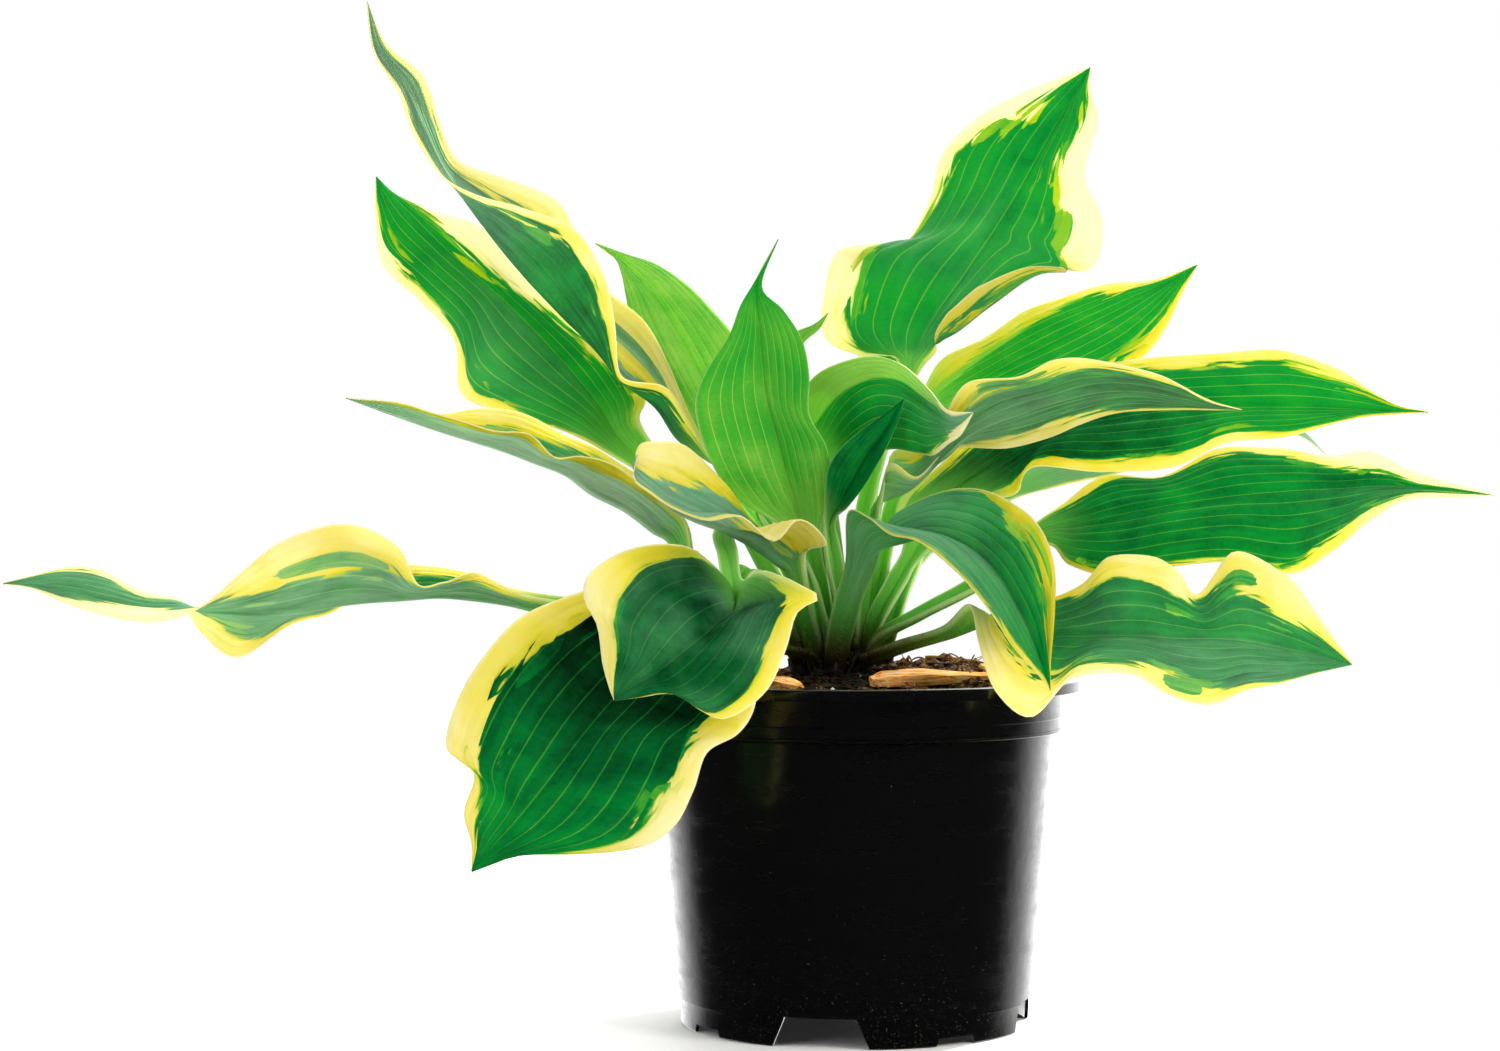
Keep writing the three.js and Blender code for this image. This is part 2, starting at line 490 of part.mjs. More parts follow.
// The pot: outside from the foot up, over the lip, and down the inside to its raised floor.
function potProfile() {
  const p = pot;
  const lipUnder = p.lipHeight - p.lipDepth;
  const inner = (radius) => radius - p.wall;
  const fine = 0.4;
  return [
    [0, p.floorHeight], [inner(p.footRadius), p.floorHeight], [inner(p.footRadius), 0], [p.footRadius, 0],
    [p.footRadius, p.footHeight - fine], [p.bodyBottom, p.footHeight],
    [p.bodyTop, p.collarFoot - 2 * p.beadSize], [p.collarBottom, p.collarFoot - p.beadSize],
    [p.collarBottom + p.beadSize, p.collarFoot], [p.collarBottom, p.collarFoot + p.beadSize],
    [p.collarBottom + fine, p.collarFoot + p.collarStep - fine],
    [p.collarBottom + 2 * fine, p.collarFoot + p.collarStep],
    [p.collarTop, lipUnder], [p.lipRadius - fine, lipUnder], [p.lipRadius, lipUnder + fine],
    [p.lipRadius, p.lipHeight - p.lipRound], [p.lipRadius - p.lipRound, p.lipHeight],
    [p.lipInner, p.lipHeight], [inner(p.collarTop), p.lipHeight - p.wall],
    [inner(p.collarBottom), p.collarFoot + fine], [inner(p.bodyTop), p.collarFoot - p.wall - fine],
    [inner(p.bodyBottom), p.floorHeight + p.wall], [0, p.floorHeight + p.wall],
  ].map(([radius, z]) => new THREE.Vector2(radius, z));
}

function latheSolid(profile, sides) {
  const geometry = standing(new THREE.LatheGeometry(profile, sides));
  return solidOf(geometry);
}

// A notch is a trapezoid through the foot ring, at an angle from the front that grows towards +X.
function notchSolid(notch, degrees) {
  const { outside, through, below } = notchCut;
  const shape = new THREE.Shape([
    new THREE.Vector2(-notch.bottom / 2, -below), new THREE.Vector2(notch.bottom / 2, -below),
    new THREE.Vector2(notch.top / 2, notch.height), new THREE.Vector2(-notch.top / 2, notch.height),
  ]);
  const geometry = new THREE.ExtrudeGeometry(shape, { depth: through, bevelEnabled: false });
  geometry.rotateX(Math.PI / 2).translate(0, through - outside - pot.footRadius, 0);
  geometry.rotateZ(THREE.MathUtils.degToRad(degrees));
  return solidOf(geometry);
}

function potGeometry() {
  let solid = latheSolid(potProfile(), pot.sides);
  for (const notch of [deepNotch, shallowNotch]) {
    for (const degrees of notch.centres) solid = solid.subtract(notchSolid(notch, degrees));
  }
  return geometryOf(solid);
}

// The soil: level near the wall, a low rise to the crown and a mound of loose peat on the right.
function soilHeight(x, y) {
  const rise = THREE.MathUtils.smoothstep(pot.collarTop - Math.hypot(x, y), 0, soil.edgeWidth);
  const distance = ((x - soil.moundX) ** 2 + (y - soil.moundY) ** 2) / (2 * soil.moundSpread ** 2);
  const mound = soil.moundHeight * Math.exp(-distance);
  return soil.edgeHeight + rise * (soil.centreHeight - soil.edgeHeight + mound);
}

function soilGeometry() {
  const { sides, rings } = soil;
  const topRadius = pot.collarBottom - pot.wall - soil.wallGap;
  const floorZ = pot.floorHeight + pot.wall + clearance;
  const floorRadius = pot.bodyBottom - pot.wall - soil.wallGap;
  const positions = [0, 0, soilHeight(0, 0)];
  const ring = (radius, height) => {
    for (let k = 0; k < sides; k += 1) {
      const angle = (2 * Math.PI * k) / sides;
      const [x, y] = [radius * Math.cos(angle), radius * Math.sin(angle)];
      positions.push(x, y, height ?? soilHeight(x, y));
    }
  };
  for (const share of rings) ring(topRadius * share);
  ring(topRadius, pot.collarFoot + soil.collarGap);
  ring(pot.bodyTop - pot.wall - soil.wallGap, pot.collarFoot - clearance);
  ring(floorRadius, floorZ);
  positions.push(0, 0, floorZ);
  const ringCount = rings.length + 3;
  const foot = 1 + ringCount * sides;
  const index = [];
  for (let k = 0; k < sides; k += 1) {
    const next = (k + 1) % sides;
    index.push(0, 1 + k, 1 + next);
    for (let r = 0; r < ringCount - 1; r += 1) {
      const [inner, outer] = [1 + r * sides, 1 + (r + 1) * sides];
      index.push(inner + k, outer + k, outer + next, inner + k, outer + next, inner + next);
    }
    index.push(foot - sides + k, foot, foot - sides + next);
  }
  const geometry = new THREE.BufferGeometry();
  geometry.setAttribute("position", new THREE.Float32BufferAttribute(positions, 3));
  geometry.setIndex(index);
  return geometryOf(solidOf(geometry).subtract(crownPit()));
}

function crownPit() {
  const radius = crown.radius + clearance;
  const height = 3 * crown.depth;
  const pit = new THREE.CylinderGeometry(radius, radius, height, crown.sides);
  return solidOf(standing(pit).translate(crown.x, crown.y, crown.rim - crown.depth - clearance + height / 2));
}

// The crown: a low dome of fused bases, with a socket for every stalk.
function crownGeometry(leaves) {
  const { radius, rim, top, depth } = crown;
  const shoulder = [radius * crown.shoulder, THREE.MathUtils.lerp(rim, top, crown.shoulder)];
  const profile = [[0, rim - depth], [radius, rim - depth], [radius, rim], shoulder, [0, top]]
    .map((point) => new THREE.Vector2(...point));
  let solid = latheSolid(profile, crown.sides).translate([crown.x, crown.y, 0]);
  for (const leaf of leaves) {
    const first = leaf.rows[0];
    const side = footSide(leaf, seen(first[3], first[4], first[5]));
    const hole = standing(new THREE.CylinderGeometry(1, 1, socket.height, socket.sides));
    hole.scale(stalk.footHalf + socket.slackAlong, stalk.footThickness / 2 + socket.slackAcross, 1);
    hole.rotateZ(Math.atan2(side.y, side.x));
    hole.translate(leaf.foot[0], leaf.foot[1], rim - stalk.sunk - clearance + socket.height / 2);
    solid = solid.subtract(solidOf(hole));
  }
  return geometryOf(solid);
}

// Bark and twig: a tapered splinter between two ends, lying on the soil.
function splinterGeometry({ from, to, widths, thickness }) {
  const length = Math.hypot(to[0] - from[0], to[1] - from[1]);
  const [near, middle, far] = widths.map((w) => w / 2);
  const shape = new THREE.Shape([
    [0, -near / 2], [0.08, -near], [0.5, -middle], [0.94, -far], [1, -far / 3],
    [0.97, far], [0.5, middle], [0.05, near], [0, near / 2],
  ].map(([share, across]) => new THREE.Vector2(share * length, across)));
  const geometry = new THREE.ExtrudeGeometry(shape, { depth: thickness, bevelEnabled: false });
  const heights = [from, to].map(([x, y]) => soilHeight(x, y));
  const slope = Math.atan2(heights[1] - heights[0], length);
  const heading = Math.atan2(to[1] - from[1], to[0] - from[0]);
  const [sideX, sideY] = [-Math.sin(heading), Math.cos(heading)];
  const [x, y] = [(from[0] + to[0]) / 2, (from[1] + to[1]) / 2];
  const roll = Math.atan2(soilHeight(x + sideX * middle, y + sideY * middle)
    - soilHeight(x - sideX * middle, y - sideY * middle), 2 * middle);
  geometry.rotateX(roll).rotateY(-slope).rotateZ(heading);
  geometry.translate(from[0], from[1], heights[0]);
  const tries = 20;
  let lift = -Infinity;
  for (let i = 0; i <= tries; i += 1) {
    for (const across of [-middle, 0, middle]) {
      const px = THREE.MathUtils.lerp(from[0], to[0], i / tries) + sideX * across;
      const py = THREE.MathUtils.lerp(from[1], to[1], i / tries) + sideY * across;
      const under = THREE.MathUtils.lerp(...heights, i / tries) + across * Math.tan(roll);
      lift = Math.max(lift, soilHeight(px, py) - under);
    }
  }
  geometry.translate(0, 0, lift + clearance);
  return geometryOf(solidOf(geometry));
}

const splinters = [
  { name: "bark_long", from: [4, -70], to: [58, -34], widths: [8, 12, 7], thickness: 5 },
  { name: "bark_left", from: [-37, -57], to: [-23, -66], widths: [10, 12, 6], thickness: 4.5 },
  { name: "bark_short", from: [50, -22], to: [66, -14], widths: [4, 6, 5], thickness: 2.6 },
  { name: "twig", from: [30, 8], to: [52, -8], widths: [2.4, 3, 2], thickness: 2.4 },
];

const looks = {
  plastic: new THREE.MeshStandardMaterial({ color: "#14161b", roughness: 0.42, metalness: 0 }),
  peat: new THREE.MeshStandardMaterial({ color: "#33231a", roughness: 0.95, metalness: 0 }),
  sheath: new THREE.MeshStandardMaterial({ color: "#2c1f22", roughness: 0.7, metalness: 0 }),
  leaf: new THREE.MeshStandardMaterial({ color: "#1f8a3c", roughness: 0.5, metalness: 0 }),
  limeLeaf: new THREE.MeshStandardMaterial({ color: "#69b52f", roughness: 0.5, metalness: 0 }),
  bark: new THREE.MeshStandardMaterial({ color: "#c98a4b", roughness: 0.9, metalness: 0 }),
};

const plant = new THREE.Group();
function add(name, geometry, material) {
  const mesh = new THREE.Mesh(geometry, material);
  mesh.name = name;
  plant.add(mesh);
}

add("pot", potGeometry(), looks.plastic);
add("soil", soilGeometry(), looks.peat);
add("crown", crownGeometry(leaves), looks.sheath);
for (const leaf of leaves) add(leaf.name, leafGeometry(leaf), leaf.lime ? looks.limeLeaf : looks.leaf);
for (const splinter of splinters) add(splinter.name, splinterGeometry(splinter), looks.bark);

// The origin lies under the middle of the whole plant, at the height of the pot's foot.
const box = new THREE.Box3().setFromObject(plant);
const middle = box.getCenter(new THREE.Vector3());
for (const mesh of plant.children) mesh.position.set(-middle.x, -middle.y, -box.min.z);

export default plant;
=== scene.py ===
import math
import random
import bpy
import numpy as np
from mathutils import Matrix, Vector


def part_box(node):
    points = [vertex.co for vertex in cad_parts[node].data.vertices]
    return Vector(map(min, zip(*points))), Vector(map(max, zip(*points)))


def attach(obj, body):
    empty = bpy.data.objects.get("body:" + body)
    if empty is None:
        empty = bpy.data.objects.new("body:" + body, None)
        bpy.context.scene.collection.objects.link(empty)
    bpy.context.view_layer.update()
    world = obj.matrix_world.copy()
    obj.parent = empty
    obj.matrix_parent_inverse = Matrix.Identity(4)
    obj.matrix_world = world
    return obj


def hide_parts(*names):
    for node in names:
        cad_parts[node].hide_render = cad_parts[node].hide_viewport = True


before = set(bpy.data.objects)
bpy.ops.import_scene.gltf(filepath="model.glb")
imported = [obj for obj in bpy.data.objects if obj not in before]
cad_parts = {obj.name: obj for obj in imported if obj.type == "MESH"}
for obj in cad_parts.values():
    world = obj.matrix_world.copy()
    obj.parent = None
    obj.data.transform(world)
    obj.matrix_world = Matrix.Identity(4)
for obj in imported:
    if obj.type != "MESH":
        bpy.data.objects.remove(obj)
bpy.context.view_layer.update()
print("frame loaded:", len(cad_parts), "nodes")

mm = 0.001
noiseLow, noiseHigh = 0.3, 0.7  # nearly all of a noise texture lies between these
potLow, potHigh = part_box("pot")
potAxis = np.array([(potLow[0] + potHigh[0]) / 2, (potLow[1] + potHigh[1]) / 2, 0.0])


def hexColor(text):
    # sRGB hex to the linear values that the shaders take
    parts = [int(text[i:i + 2], 16) / 255 for i in (1, 3, 5)]
    return [p / 12.92 if p <= 0.04045 else ((p + 0.055) / 1.055) ** 2.4 for p in parts] + [1.0]


def addNode(tree, kind, links=None, **settings):
    node = tree.nodes.new(kind)
    for key, value in settings.items():
        setattr(node, key, value)
    for key, value in (links or {}).items():
        if isinstance(value, bpy.types.NodeSocket):
            tree.links.new(value, node.inputs[key])
        else:
            node.inputs[key].default_value = value
    return node


def fillRamp(ramp, stops):
    # stops are pairs of place and hex colour, in order
    elements = ramp.color_ramp.elements
    while len(elements) < len(stops):
        elements.new(0.5)
    for element, (place, color) in zip(elements, stops):
        element.position = place
        element.color = hexColor(color)
    return ramp.outputs["Color"]


def newMaterial(name):
    material = bpy.data.materials.new(name)
    material.use_nodes = True
    tree = material.node_tree
    tree.nodes.clear()
    return material, tree, addNode(tree, "ShaderNodeOutputMaterial")


def placeIn(tree, sizes, heading=0):
    # where a point lies on the object, counted in these sizes in mm, the first of them along the heading
    where = addNode(tree, "ShaderNodeTexCoord").outputs["Object"]
    if heading:
        where = addNode(tree, "ShaderNodeVectorRotate", {"Vector": where, "Angle": -heading},
                        rotation_type="Z_AXIS").outputs[0]
    steps = tuple(1 / (size * mm) for size in sizes)
    return addNode(tree, "ShaderNodeVectorMath", {0: where, 1: steps}, operation="MULTIPLY").outputs[0]


def coverWith(finish, tree, output, color, roughness, height):
    # a solid surface with the finish's fine relief, its depth in mm
    bump = addNode(tree, "ShaderNodeBump", {
        "Height": height, "Strength": finish["reliefStrength"], "Distance": finish["relief"] * mm}).outputs[0]
    skin = addNode(tree, "ShaderNodeBsdfPrincipled", {
        "Base Color": color, "Roughness": roughness, "IOR": finish["ior"], "Normal": bump})
    tree.links.new(skin.outputs[0], output.inputs["Surface"])


def newPiece(name, places, faces, materials, smooth=True, faceSlots=None):
    # places are millimetres from the pot's foot, on its axis
    mesh = bpy.data.meshes.new(name)
    mesh.from_pydata((np.asarray(places) * mm + potAxis).tolist(), [], faces)
    for material in materials:
        mesh.materials.append(material)
    if faceSlots is not None:
        mesh.polygons.foreach_set("material_index", np.asarray(faceSlots, np.int32))
    mesh.polygons.foreach_set("use_smooth", [smooth] * len(mesh.polygons))
    mesh.update()
    piece = bpy.data.objects.new(name, mesh)
    bpy.context.scene.collection.objects.link(piece)
    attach(piece, "root")
    return piece


def smoothStep(value, low, high):
    share = np.clip((np.asarray(value, float) - low) / (high - low), 0, 1)
    return share * share * (3 - 2 * share)


def waves(seed, x, y, count=6):
    # a smooth seeded unevenness between about -1 and 1, from a few crossing waves
    draw = random.Random(seed)
    total = 0.0
    for _ in range(count):
        turn, pitch, phase = draw.uniform(0, math.pi), draw.uniform(0.6, 1.7), draw.uniform(0, 2 * math.pi)
        total = total + np.sin(pitch * (x * math.cos(turn) + y * math.sin(turn)) + phase)
    return total / math.sqrt(2 * count)


# Camera: level, at the height and angle of the photograph
cameraPlace = dict(x=-44, y=-1260, z=207.5, lens=72, sensor=36, sight=50)
cameraData = bpy.data.cameras.new("camera")
cameraData.lens = cameraPlace["lens"]
cameraData.sensor_width = cameraPlace["sensor"]
cameraData.clip_end = cameraPlace["sight"]
eye = np.array([cameraPlace[key] for key in "xyz"], float)
camera = bpy.data.objects.new("camera", cameraData)
camera.location = eye * mm + potAxis
camera.rotation_euler = (math.pi / 2, 0, 0)
bpy.context.scene.collection.objects.link(camera)
bpy.context.scene.camera = camera

# Light: a white sweep all round behind the plant and overhead, dark towards the camera. What shines mirrors
# it as two bright strips, one at each side of the pot. Soft boxes light the front and the back of the leaves.
sweep = dict(front=0.03, sides=1.05, frontEdge=-0.1, sideEdge=0.3, topLow=0.3, topHigh=0.85, top=1.0, sky=1.0,
             mirrored=2.6, mirrorRight=(0.26, 0.8), mirrorLeft=(0.44, 0.86))
softBoxes = dict(
    key=dict(place=(1.5, -1.15, 1.25), size=0.8, power=26, color="#fffaf2", mirrored=False),
    fill=dict(place=(-1.4, -1.3, 1.0), size=1.5, power=15, color="#f8fbff", mirrored=False),
    over=dict(place=(0.1, 1.3, 2.3), size=2.4, power=40, color="#fffefb", mirrored=True),
    side=dict(place=(1.55, 1.5, 1.2), size=0.2, power=130, color="#fffdf6", mirrored=False),
)
plantMiddle = np.array([0.0, 0.0, 0.2])
for name, box in softBoxes.items():
    data = bpy.data.lights.new(name, "AREA")
    data.shape = "DISK"
    data.size = box["size"]
    data.energy = box["power"]
    data.color = hexColor(box["color"])[:3]
    lamp = bpy.data.objects.new(name, data)
    lamp.location = box["place"]
    aim = plantMiddle - np.array(box["place"])
    tilt = math.acos(-aim[2] / np.linalg.norm(aim))
    lamp.rotation_euler = (tilt, 0, math.atan2(aim[1], aim[0]) - math.pi / 2)
    lamp.visible_camera = False
    lamp.visible_glossy = box["mirrored"]
    bpy.context.scene.collection.objects.link(lamp)

world = bpy.data.worlds.new("sweep")
world.use_nodes = True
tree = world.node_tree
tree.nodes.clear()
way = addNode(tree, "ShaderNodeSeparateXYZ", {0: addNode(tree, "ShaderNodeTexCoord").outputs["Generated"]})
wall = addNode(tree, "ShaderNodeMapRange", {
    "Value": way.outputs["Y"], "From Min": sweep["frontEdge"], "From Max": sweep["sideEdge"],
    "To Min": sweep["front"], "To Max": sweep["sides"]}, interpolation_type="SMOOTHSTEP").outputs[0]
top = addNode(tree, "ShaderNodeMapRange", {
    "Value": way.outputs["Z"], "From Min": sweep["topLow"], "From Max": sweep["topHigh"],
    "To Min": 0.0, "To Max": sweep["top"]}, interpolation_type="SMOOTHSTEP").outputs[0]
most = addNode(tree, "ShaderNodeMath", {0: wall, 1: top}, operation="MAXIMUM").outputs[0]
right, left = [addNode(tree, "ShaderNodeMapRange", {
    "Value": way.outputs["Y"], "From Min": sweep[strip][0], "From Max": sweep[strip][1],
    "To Min": sweep["front"], "To Max": sweep["mirrored"]}).outputs[0]
    for strip in ("mirrorRight", "mirrorLeft")]
onRight = addNode(tree, "ShaderNodeMath", {0: way.outputs["X"], 1: 0.0}, operation="GREATER_THAN").outputs[0]
strips = addNode(tree, "ShaderNodeMix", {0: onRight, 2: left, 3: right}).outputs[0]
ray = addNode(tree, "ShaderNodeLightPath")
most = addNode(tree, "ShaderNodeMix", {0: ray.outputs["Is Glossy Ray"], 2: most, 3: strips}).outputs[0]
strength = addNode(tree, "ShaderNodeMix", {0: ray.outputs["Is Camera Ray"], 2: most, 3: sweep["sky"]})
white = addNode(tree, "ShaderNodeBackground", {"Color": hexColor("#ffffff"), "Strength": strength.outputs[0]})
addNode(tree, "ShaderNodeOutputWorld", {"Surface": white.outputs[0]})
bpy.context.scene.world = world
bpy.context.scene.view_settings.view_transform = "Standard"

# Floor: matt white card, calendered smooth, so its fibres only show as a faint mottle
floorCard = dict(half=6.0, back=2.6, drop=-0.0002, color="#fbfbfa", shade="#f6f6f5", mottle=40, roughness=0.7)
material, tree, output = newMaterial("mattWhiteCard")
where = addNode(tree, "ShaderNodeTexCoord").outputs["Object"]
mottle = addNode(tree, "ShaderNodeTexNoise", {"Vector": where, "Scale": floorCard["mottle"], "Detail": 3})
shade = addNode(tree, "ShaderNodeMix", {
    0: mottle.outputs["Fac"], 6: hexColor(floorCard["color"]), 7: hexColor(floorCard["shade"])},
    data_type="RGBA")
card = addNode(tree, "ShaderNodeBsdfPrincipled", {
    "Base Color": shade.outputs[2], "Roughness": floorCard["roughness"], "IOR": 1.5})
tree.links.new(card.outputs[0], output.inputs["Surface"])
half, back = floorCard["half"], floorCard["back"]
mesh = bpy.data.meshes.new("floor")
mesh.from_pydata([(-half, -half, 0), (half, -half, 0), (half, back, 0), (-half, back, 0)], [], [(0, 1, 2, 3)])
mesh.materials.append(material)
floor = bpy.data.objects.new("floor", mesh)
floor.location.z = floorCard["drop"]
floor.visible_glossy = False
bpy.context.scene.collection.objects.link(floor)
print("camera, light and floor set")


# Leaf: living hosta blade. It grew as a smooth waxy upper face pressed between sunken parallel veins, so the
# eye gets a satin green with thin bright veins and light that glows through the thin sheet. The under face
# has raised veins and a dull bloom. The edge of the blade has no green cells, so it is yellow to cream, and
# long strokes of green run along the veins into it. Shares run from the rib, 0, to the edge, 1. Lengths in mm.
leafFinish = dict(
    greens=[(0.0, "#02190c"), (0.15, "#033f1c"), (0.3, "#01652d"), (0.45, "#018c36"), (0.62, "#1ba233"),
            (0.8, "#4fb236"), (1.0, "#92cc50")],
    veins=[(0.4, "#117a36"), (0.6, "#3fae3c"), (0.8, "#8ecb3f"), (1.0, "#c9dd6a")],
    # the olive end of the margins, reached by cream values below 0, is painted shade
    margins=[(0.15, "#a5a82a"), (0.32, "#cdc42a"), (0.5, "#e6da48"), (0.75, "#ece287"), (1.0, "#f5efc0")],
    olive="#bccb1c", rim="#f5f0c0", through="#84d85a", ior=1.45, shine=0.06,
)
leafStrokes = dict(
    strokeAcross=2.3, strokeAlong=17, strokeReach=0.2, streakAcross=3.2, streakAlong=30, streakReach=0.26,
    streakLow=0.25, streakHigh=0.75, slimEdge=0.3, calming=-0.7, paleFrom=0.995, paleTo=1.015,
    shoreReach=1.4, shoreFrom=0.48, shoreTo=0.54, between=0.22, betweenFrom=0.99, betweenTo=1.02,
)
leafTones = dict(
    patch=17, patchTone=0.08, streakTone=0.05, grain=1.4, grainTone=0.025,
    limeFrom=0.96, limeTo=1.06, limeTone=0.5, lighterBy=1.15, lighterFrom=0.12, oliveFrom=0.3, oliveTo=0.5,
    veinCount=6, veinWidth=0.058, valleyWidth=0.3, veinBy=0.8, veinFrom=0.42,
    streakedVeil=(0.55, 1.35), cloudFrom=0.4, cloudTo=0.62, cloudedVeil=1.9,
    creamFrom=-0.15, creamTo=0.35, creamReach=1.4, creamPatch=2.5, oliveLine=(1.01, 1.06, 0.45),
    rimFrom=0.965, rimTo=0.99, rimShare=0.7, rimGreen=0.25, rimPale=0.12,
)
leafSkin = dict(
    grainRelief=0.12, relief=1.0, strength=0.6, glossier=0.06, rougher=0.08,
    throughGreen=0.24, throughPale=-0.22, deepTone=0.45,
)
leafFaces = dict(
    # the upper face's veil is waxy bloom and a painted grey sheen
    upper=dict(name="hostaLeafWaxyUpperFace", veil="#92b8a0", veilLine="#cfdfcb", veilBy="bloomAndSheen",
               roughness=0.42, vein=-0.22, veinLight=0.8, glow=0.36),
    under=dict(name="hostaLeafDullUnderFace", veil="#b3d2b3", veilLine="#cfdfc9", veilBy="dull",
               roughness=0.55, vein=0.25, veinLight=0.8, glow=0.46),
)
stalkFinish = dict(
    stops=[(0.0, "#0a0606"), (0.1, "#231712"), (0.19, "#565426"), (0.32, "#59ad40"), (0.55, "#79c650"),
           (1.0, "#8dce5e")],
    edge="#dcebac", tall=90, edgeFrom=0.7, edgeShare=0.8, litFrom=14, litTo=40,
    speckle=0.9, speckled=0.3, lower=0.15,
)


def leafStrokeNodes(tree, place, across, pale, island, calm):
    # long narrow cells along the veins, each with its own reach, on slower streaks
    cut = leafStrokes
    strip, cells = [addNode(tree, "ShaderNodeVectorMath", {
        0: place, 1: (1 / cut[kind + "Across"], 1 / cut[kind + "Along"], 1)}, operation="MULTIPLY").outputs[0]
        for kind in ("streak", "stroke")]
    streak = addNode(tree, "ShaderNodeTexNoise", {
        "Vector": strip, "Scale": 1, "Detail": 3, "Roughness": 0.6}).outputs["Fac"]
    stroke = addNode(tree, "ShaderNodeTexVoronoi", {"Vector": cells, "Scale": 1, "Randomness": 1})
    draws = addNode(tree, "ShaderNodeSeparateColor", {0: stroke.outputs["Color"]})
    jagDraw, furtherDraw, oliveDraw = draws.outputs

    # how far the green swings past the pale edge's line: less where the edge is slim and on a calm leaf
    swing = addNode(tree, "ShaderNodeMapRange", {
        "Value": streak, "From Min": cut["streakLow"], "From Max": cut["streakHigh"],
        "To Min": -cut["streakReach"] / 2, "To Max": cut["streakReach"] / 2}).outputs[0]
    jag = addNode(tree, "ShaderNodeMapRange", {
        "Value": jagDraw, "To Min": -cut["strokeReach"] / 2, "To Max": cut["strokeReach"] / 2}).outputs[0]
    swing = addNode(tree, "ShaderNodeMath", {0: swing, 1: jag}, operation="ADD").outputs[0]
    room = addNode(tree, "ShaderNodeMapRange", {"Value": pale, "From Max": cut["slimEdge"]}).outputs[0]
    short = addNode(tree, "ShaderNodeMath", {0: calm, 1: cut["calming"], 2: 1},
                    operation="MULTIPLY_ADD").outputs[0]
    room = addNode(tree, "ShaderNodeMath", {0: room, 1: short}, operation="MULTIPLY").outputs[0]
    swing = addNode(tree, "ShaderNodeMath", {0: swing, 1: room}, operation="MULTIPLY").outputs[0]
    edge = addNode(tree, "ShaderNodeMath", {0: across, 1: pale}, operation="ADD").outputs[0]
    reach = addNode(tree, "ShaderNodeMath", {0: edge, 1: swing}, operation="ADD").outputs[0]
    paleShare = addNode(tree, "ShaderNodeMapRange", {
        "Value": reach, "From Min": cut["paleFrom"], "From Max": cut["paleTo"]},
        interpolation_type="SMOOTHSTEP").outputs[0]

    # an island takes its green back out of the pale edge
    shore = addNode(tree, "ShaderNodeMath", {0: swing, 1: cut["shoreReach"], 2: island},
                    operation="MULTIPLY_ADD").outputs[0]
    water = addNode(tree, "ShaderNodeMapRange", {
        "Value": shore, "From Min": cut["shoreFrom"], "From Max": cut["shoreTo"], "To Min": 1,
        "To Max": 0}).outputs[0]
    paleShare = addNode(tree, "ShaderNodeMath", {0: paleShare, 1: water}, operation="MULTIPLY").outputs[0]

    # a lighter green or olive lies between in some strokes
    further = furtherDraw
    for share in (furtherDraw, room, cut["between"]):
        further = addNode(tree, "ShaderNodeMath", {0: further, 1: share}, operation="MULTIPLY").outputs[0]
    reachOn = addNode(tree, "ShaderNodeMath", {0: reach, 1: further}, operation="ADD").outputs[0]
    betweenShare = addNode(tree, "ShaderNodeMapRange", {
        "Value": reachOn, "From Min": cut["betweenFrom"], "From Max": cut["betweenTo"]},
        interpolation_type="SMOOTHSTEP").outputs[0]
    return streak, reach, paleShare, betweenShare, oliveDraw


def stalkNodes(tree, place, across, rise):
    # purple-black and speckled in the crown, then green with lighter rims
    stem = stalkFinish
    height = addNode(tree, "ShaderNodeMapRange", {"Value": rise, "From Max": stem["tall"]}).outputs[0]
    speckle = addNode(tree, "ShaderNodeTexNoise", {
        "Vector": place, "Scale": 1 / stem["speckle"], "Detail": 2}).outputs["Fac"]
    height = addNode(tree, "ShaderNodeMath", {0: speckle, 1: stem["speckled"], 2: height},
                     operation="MULTIPLY_ADD").outputs[0]
    height = addNode(tree, "ShaderNodeMath", {0: height, 1: stem["lower"]}, operation="SUBTRACT").outputs[0]
    stalkTone = fillRamp(addNode(tree, "ShaderNodeValToRGB", {"Fac": height}), stem["stops"])
    rim = addNode(tree, "ShaderNodeMapRange", {"Value": across, "From Min": stem["edgeFrom"]},
                  interpolation_type="SMOOTHSTEP").outputs[0]
    lit = addNode(tree, "ShaderNodeMapRange", {
        "Value": rise, "From Min": stem["litFrom"], "From Max": stem["litTo"],
        "To Max": stem["edgeShare"]}).outputs[0]
    rim = addNode(tree, "ShaderNodeMath", {0: rim, 1: lit}, operation="MULTIPLY").outputs[0]
    return addNode(tree, "ShaderNodeMix", {0: rim, 6: stalkTone, 7: hexColor(stem["edge"])},
                   data_type="RGBA").outputs[2]


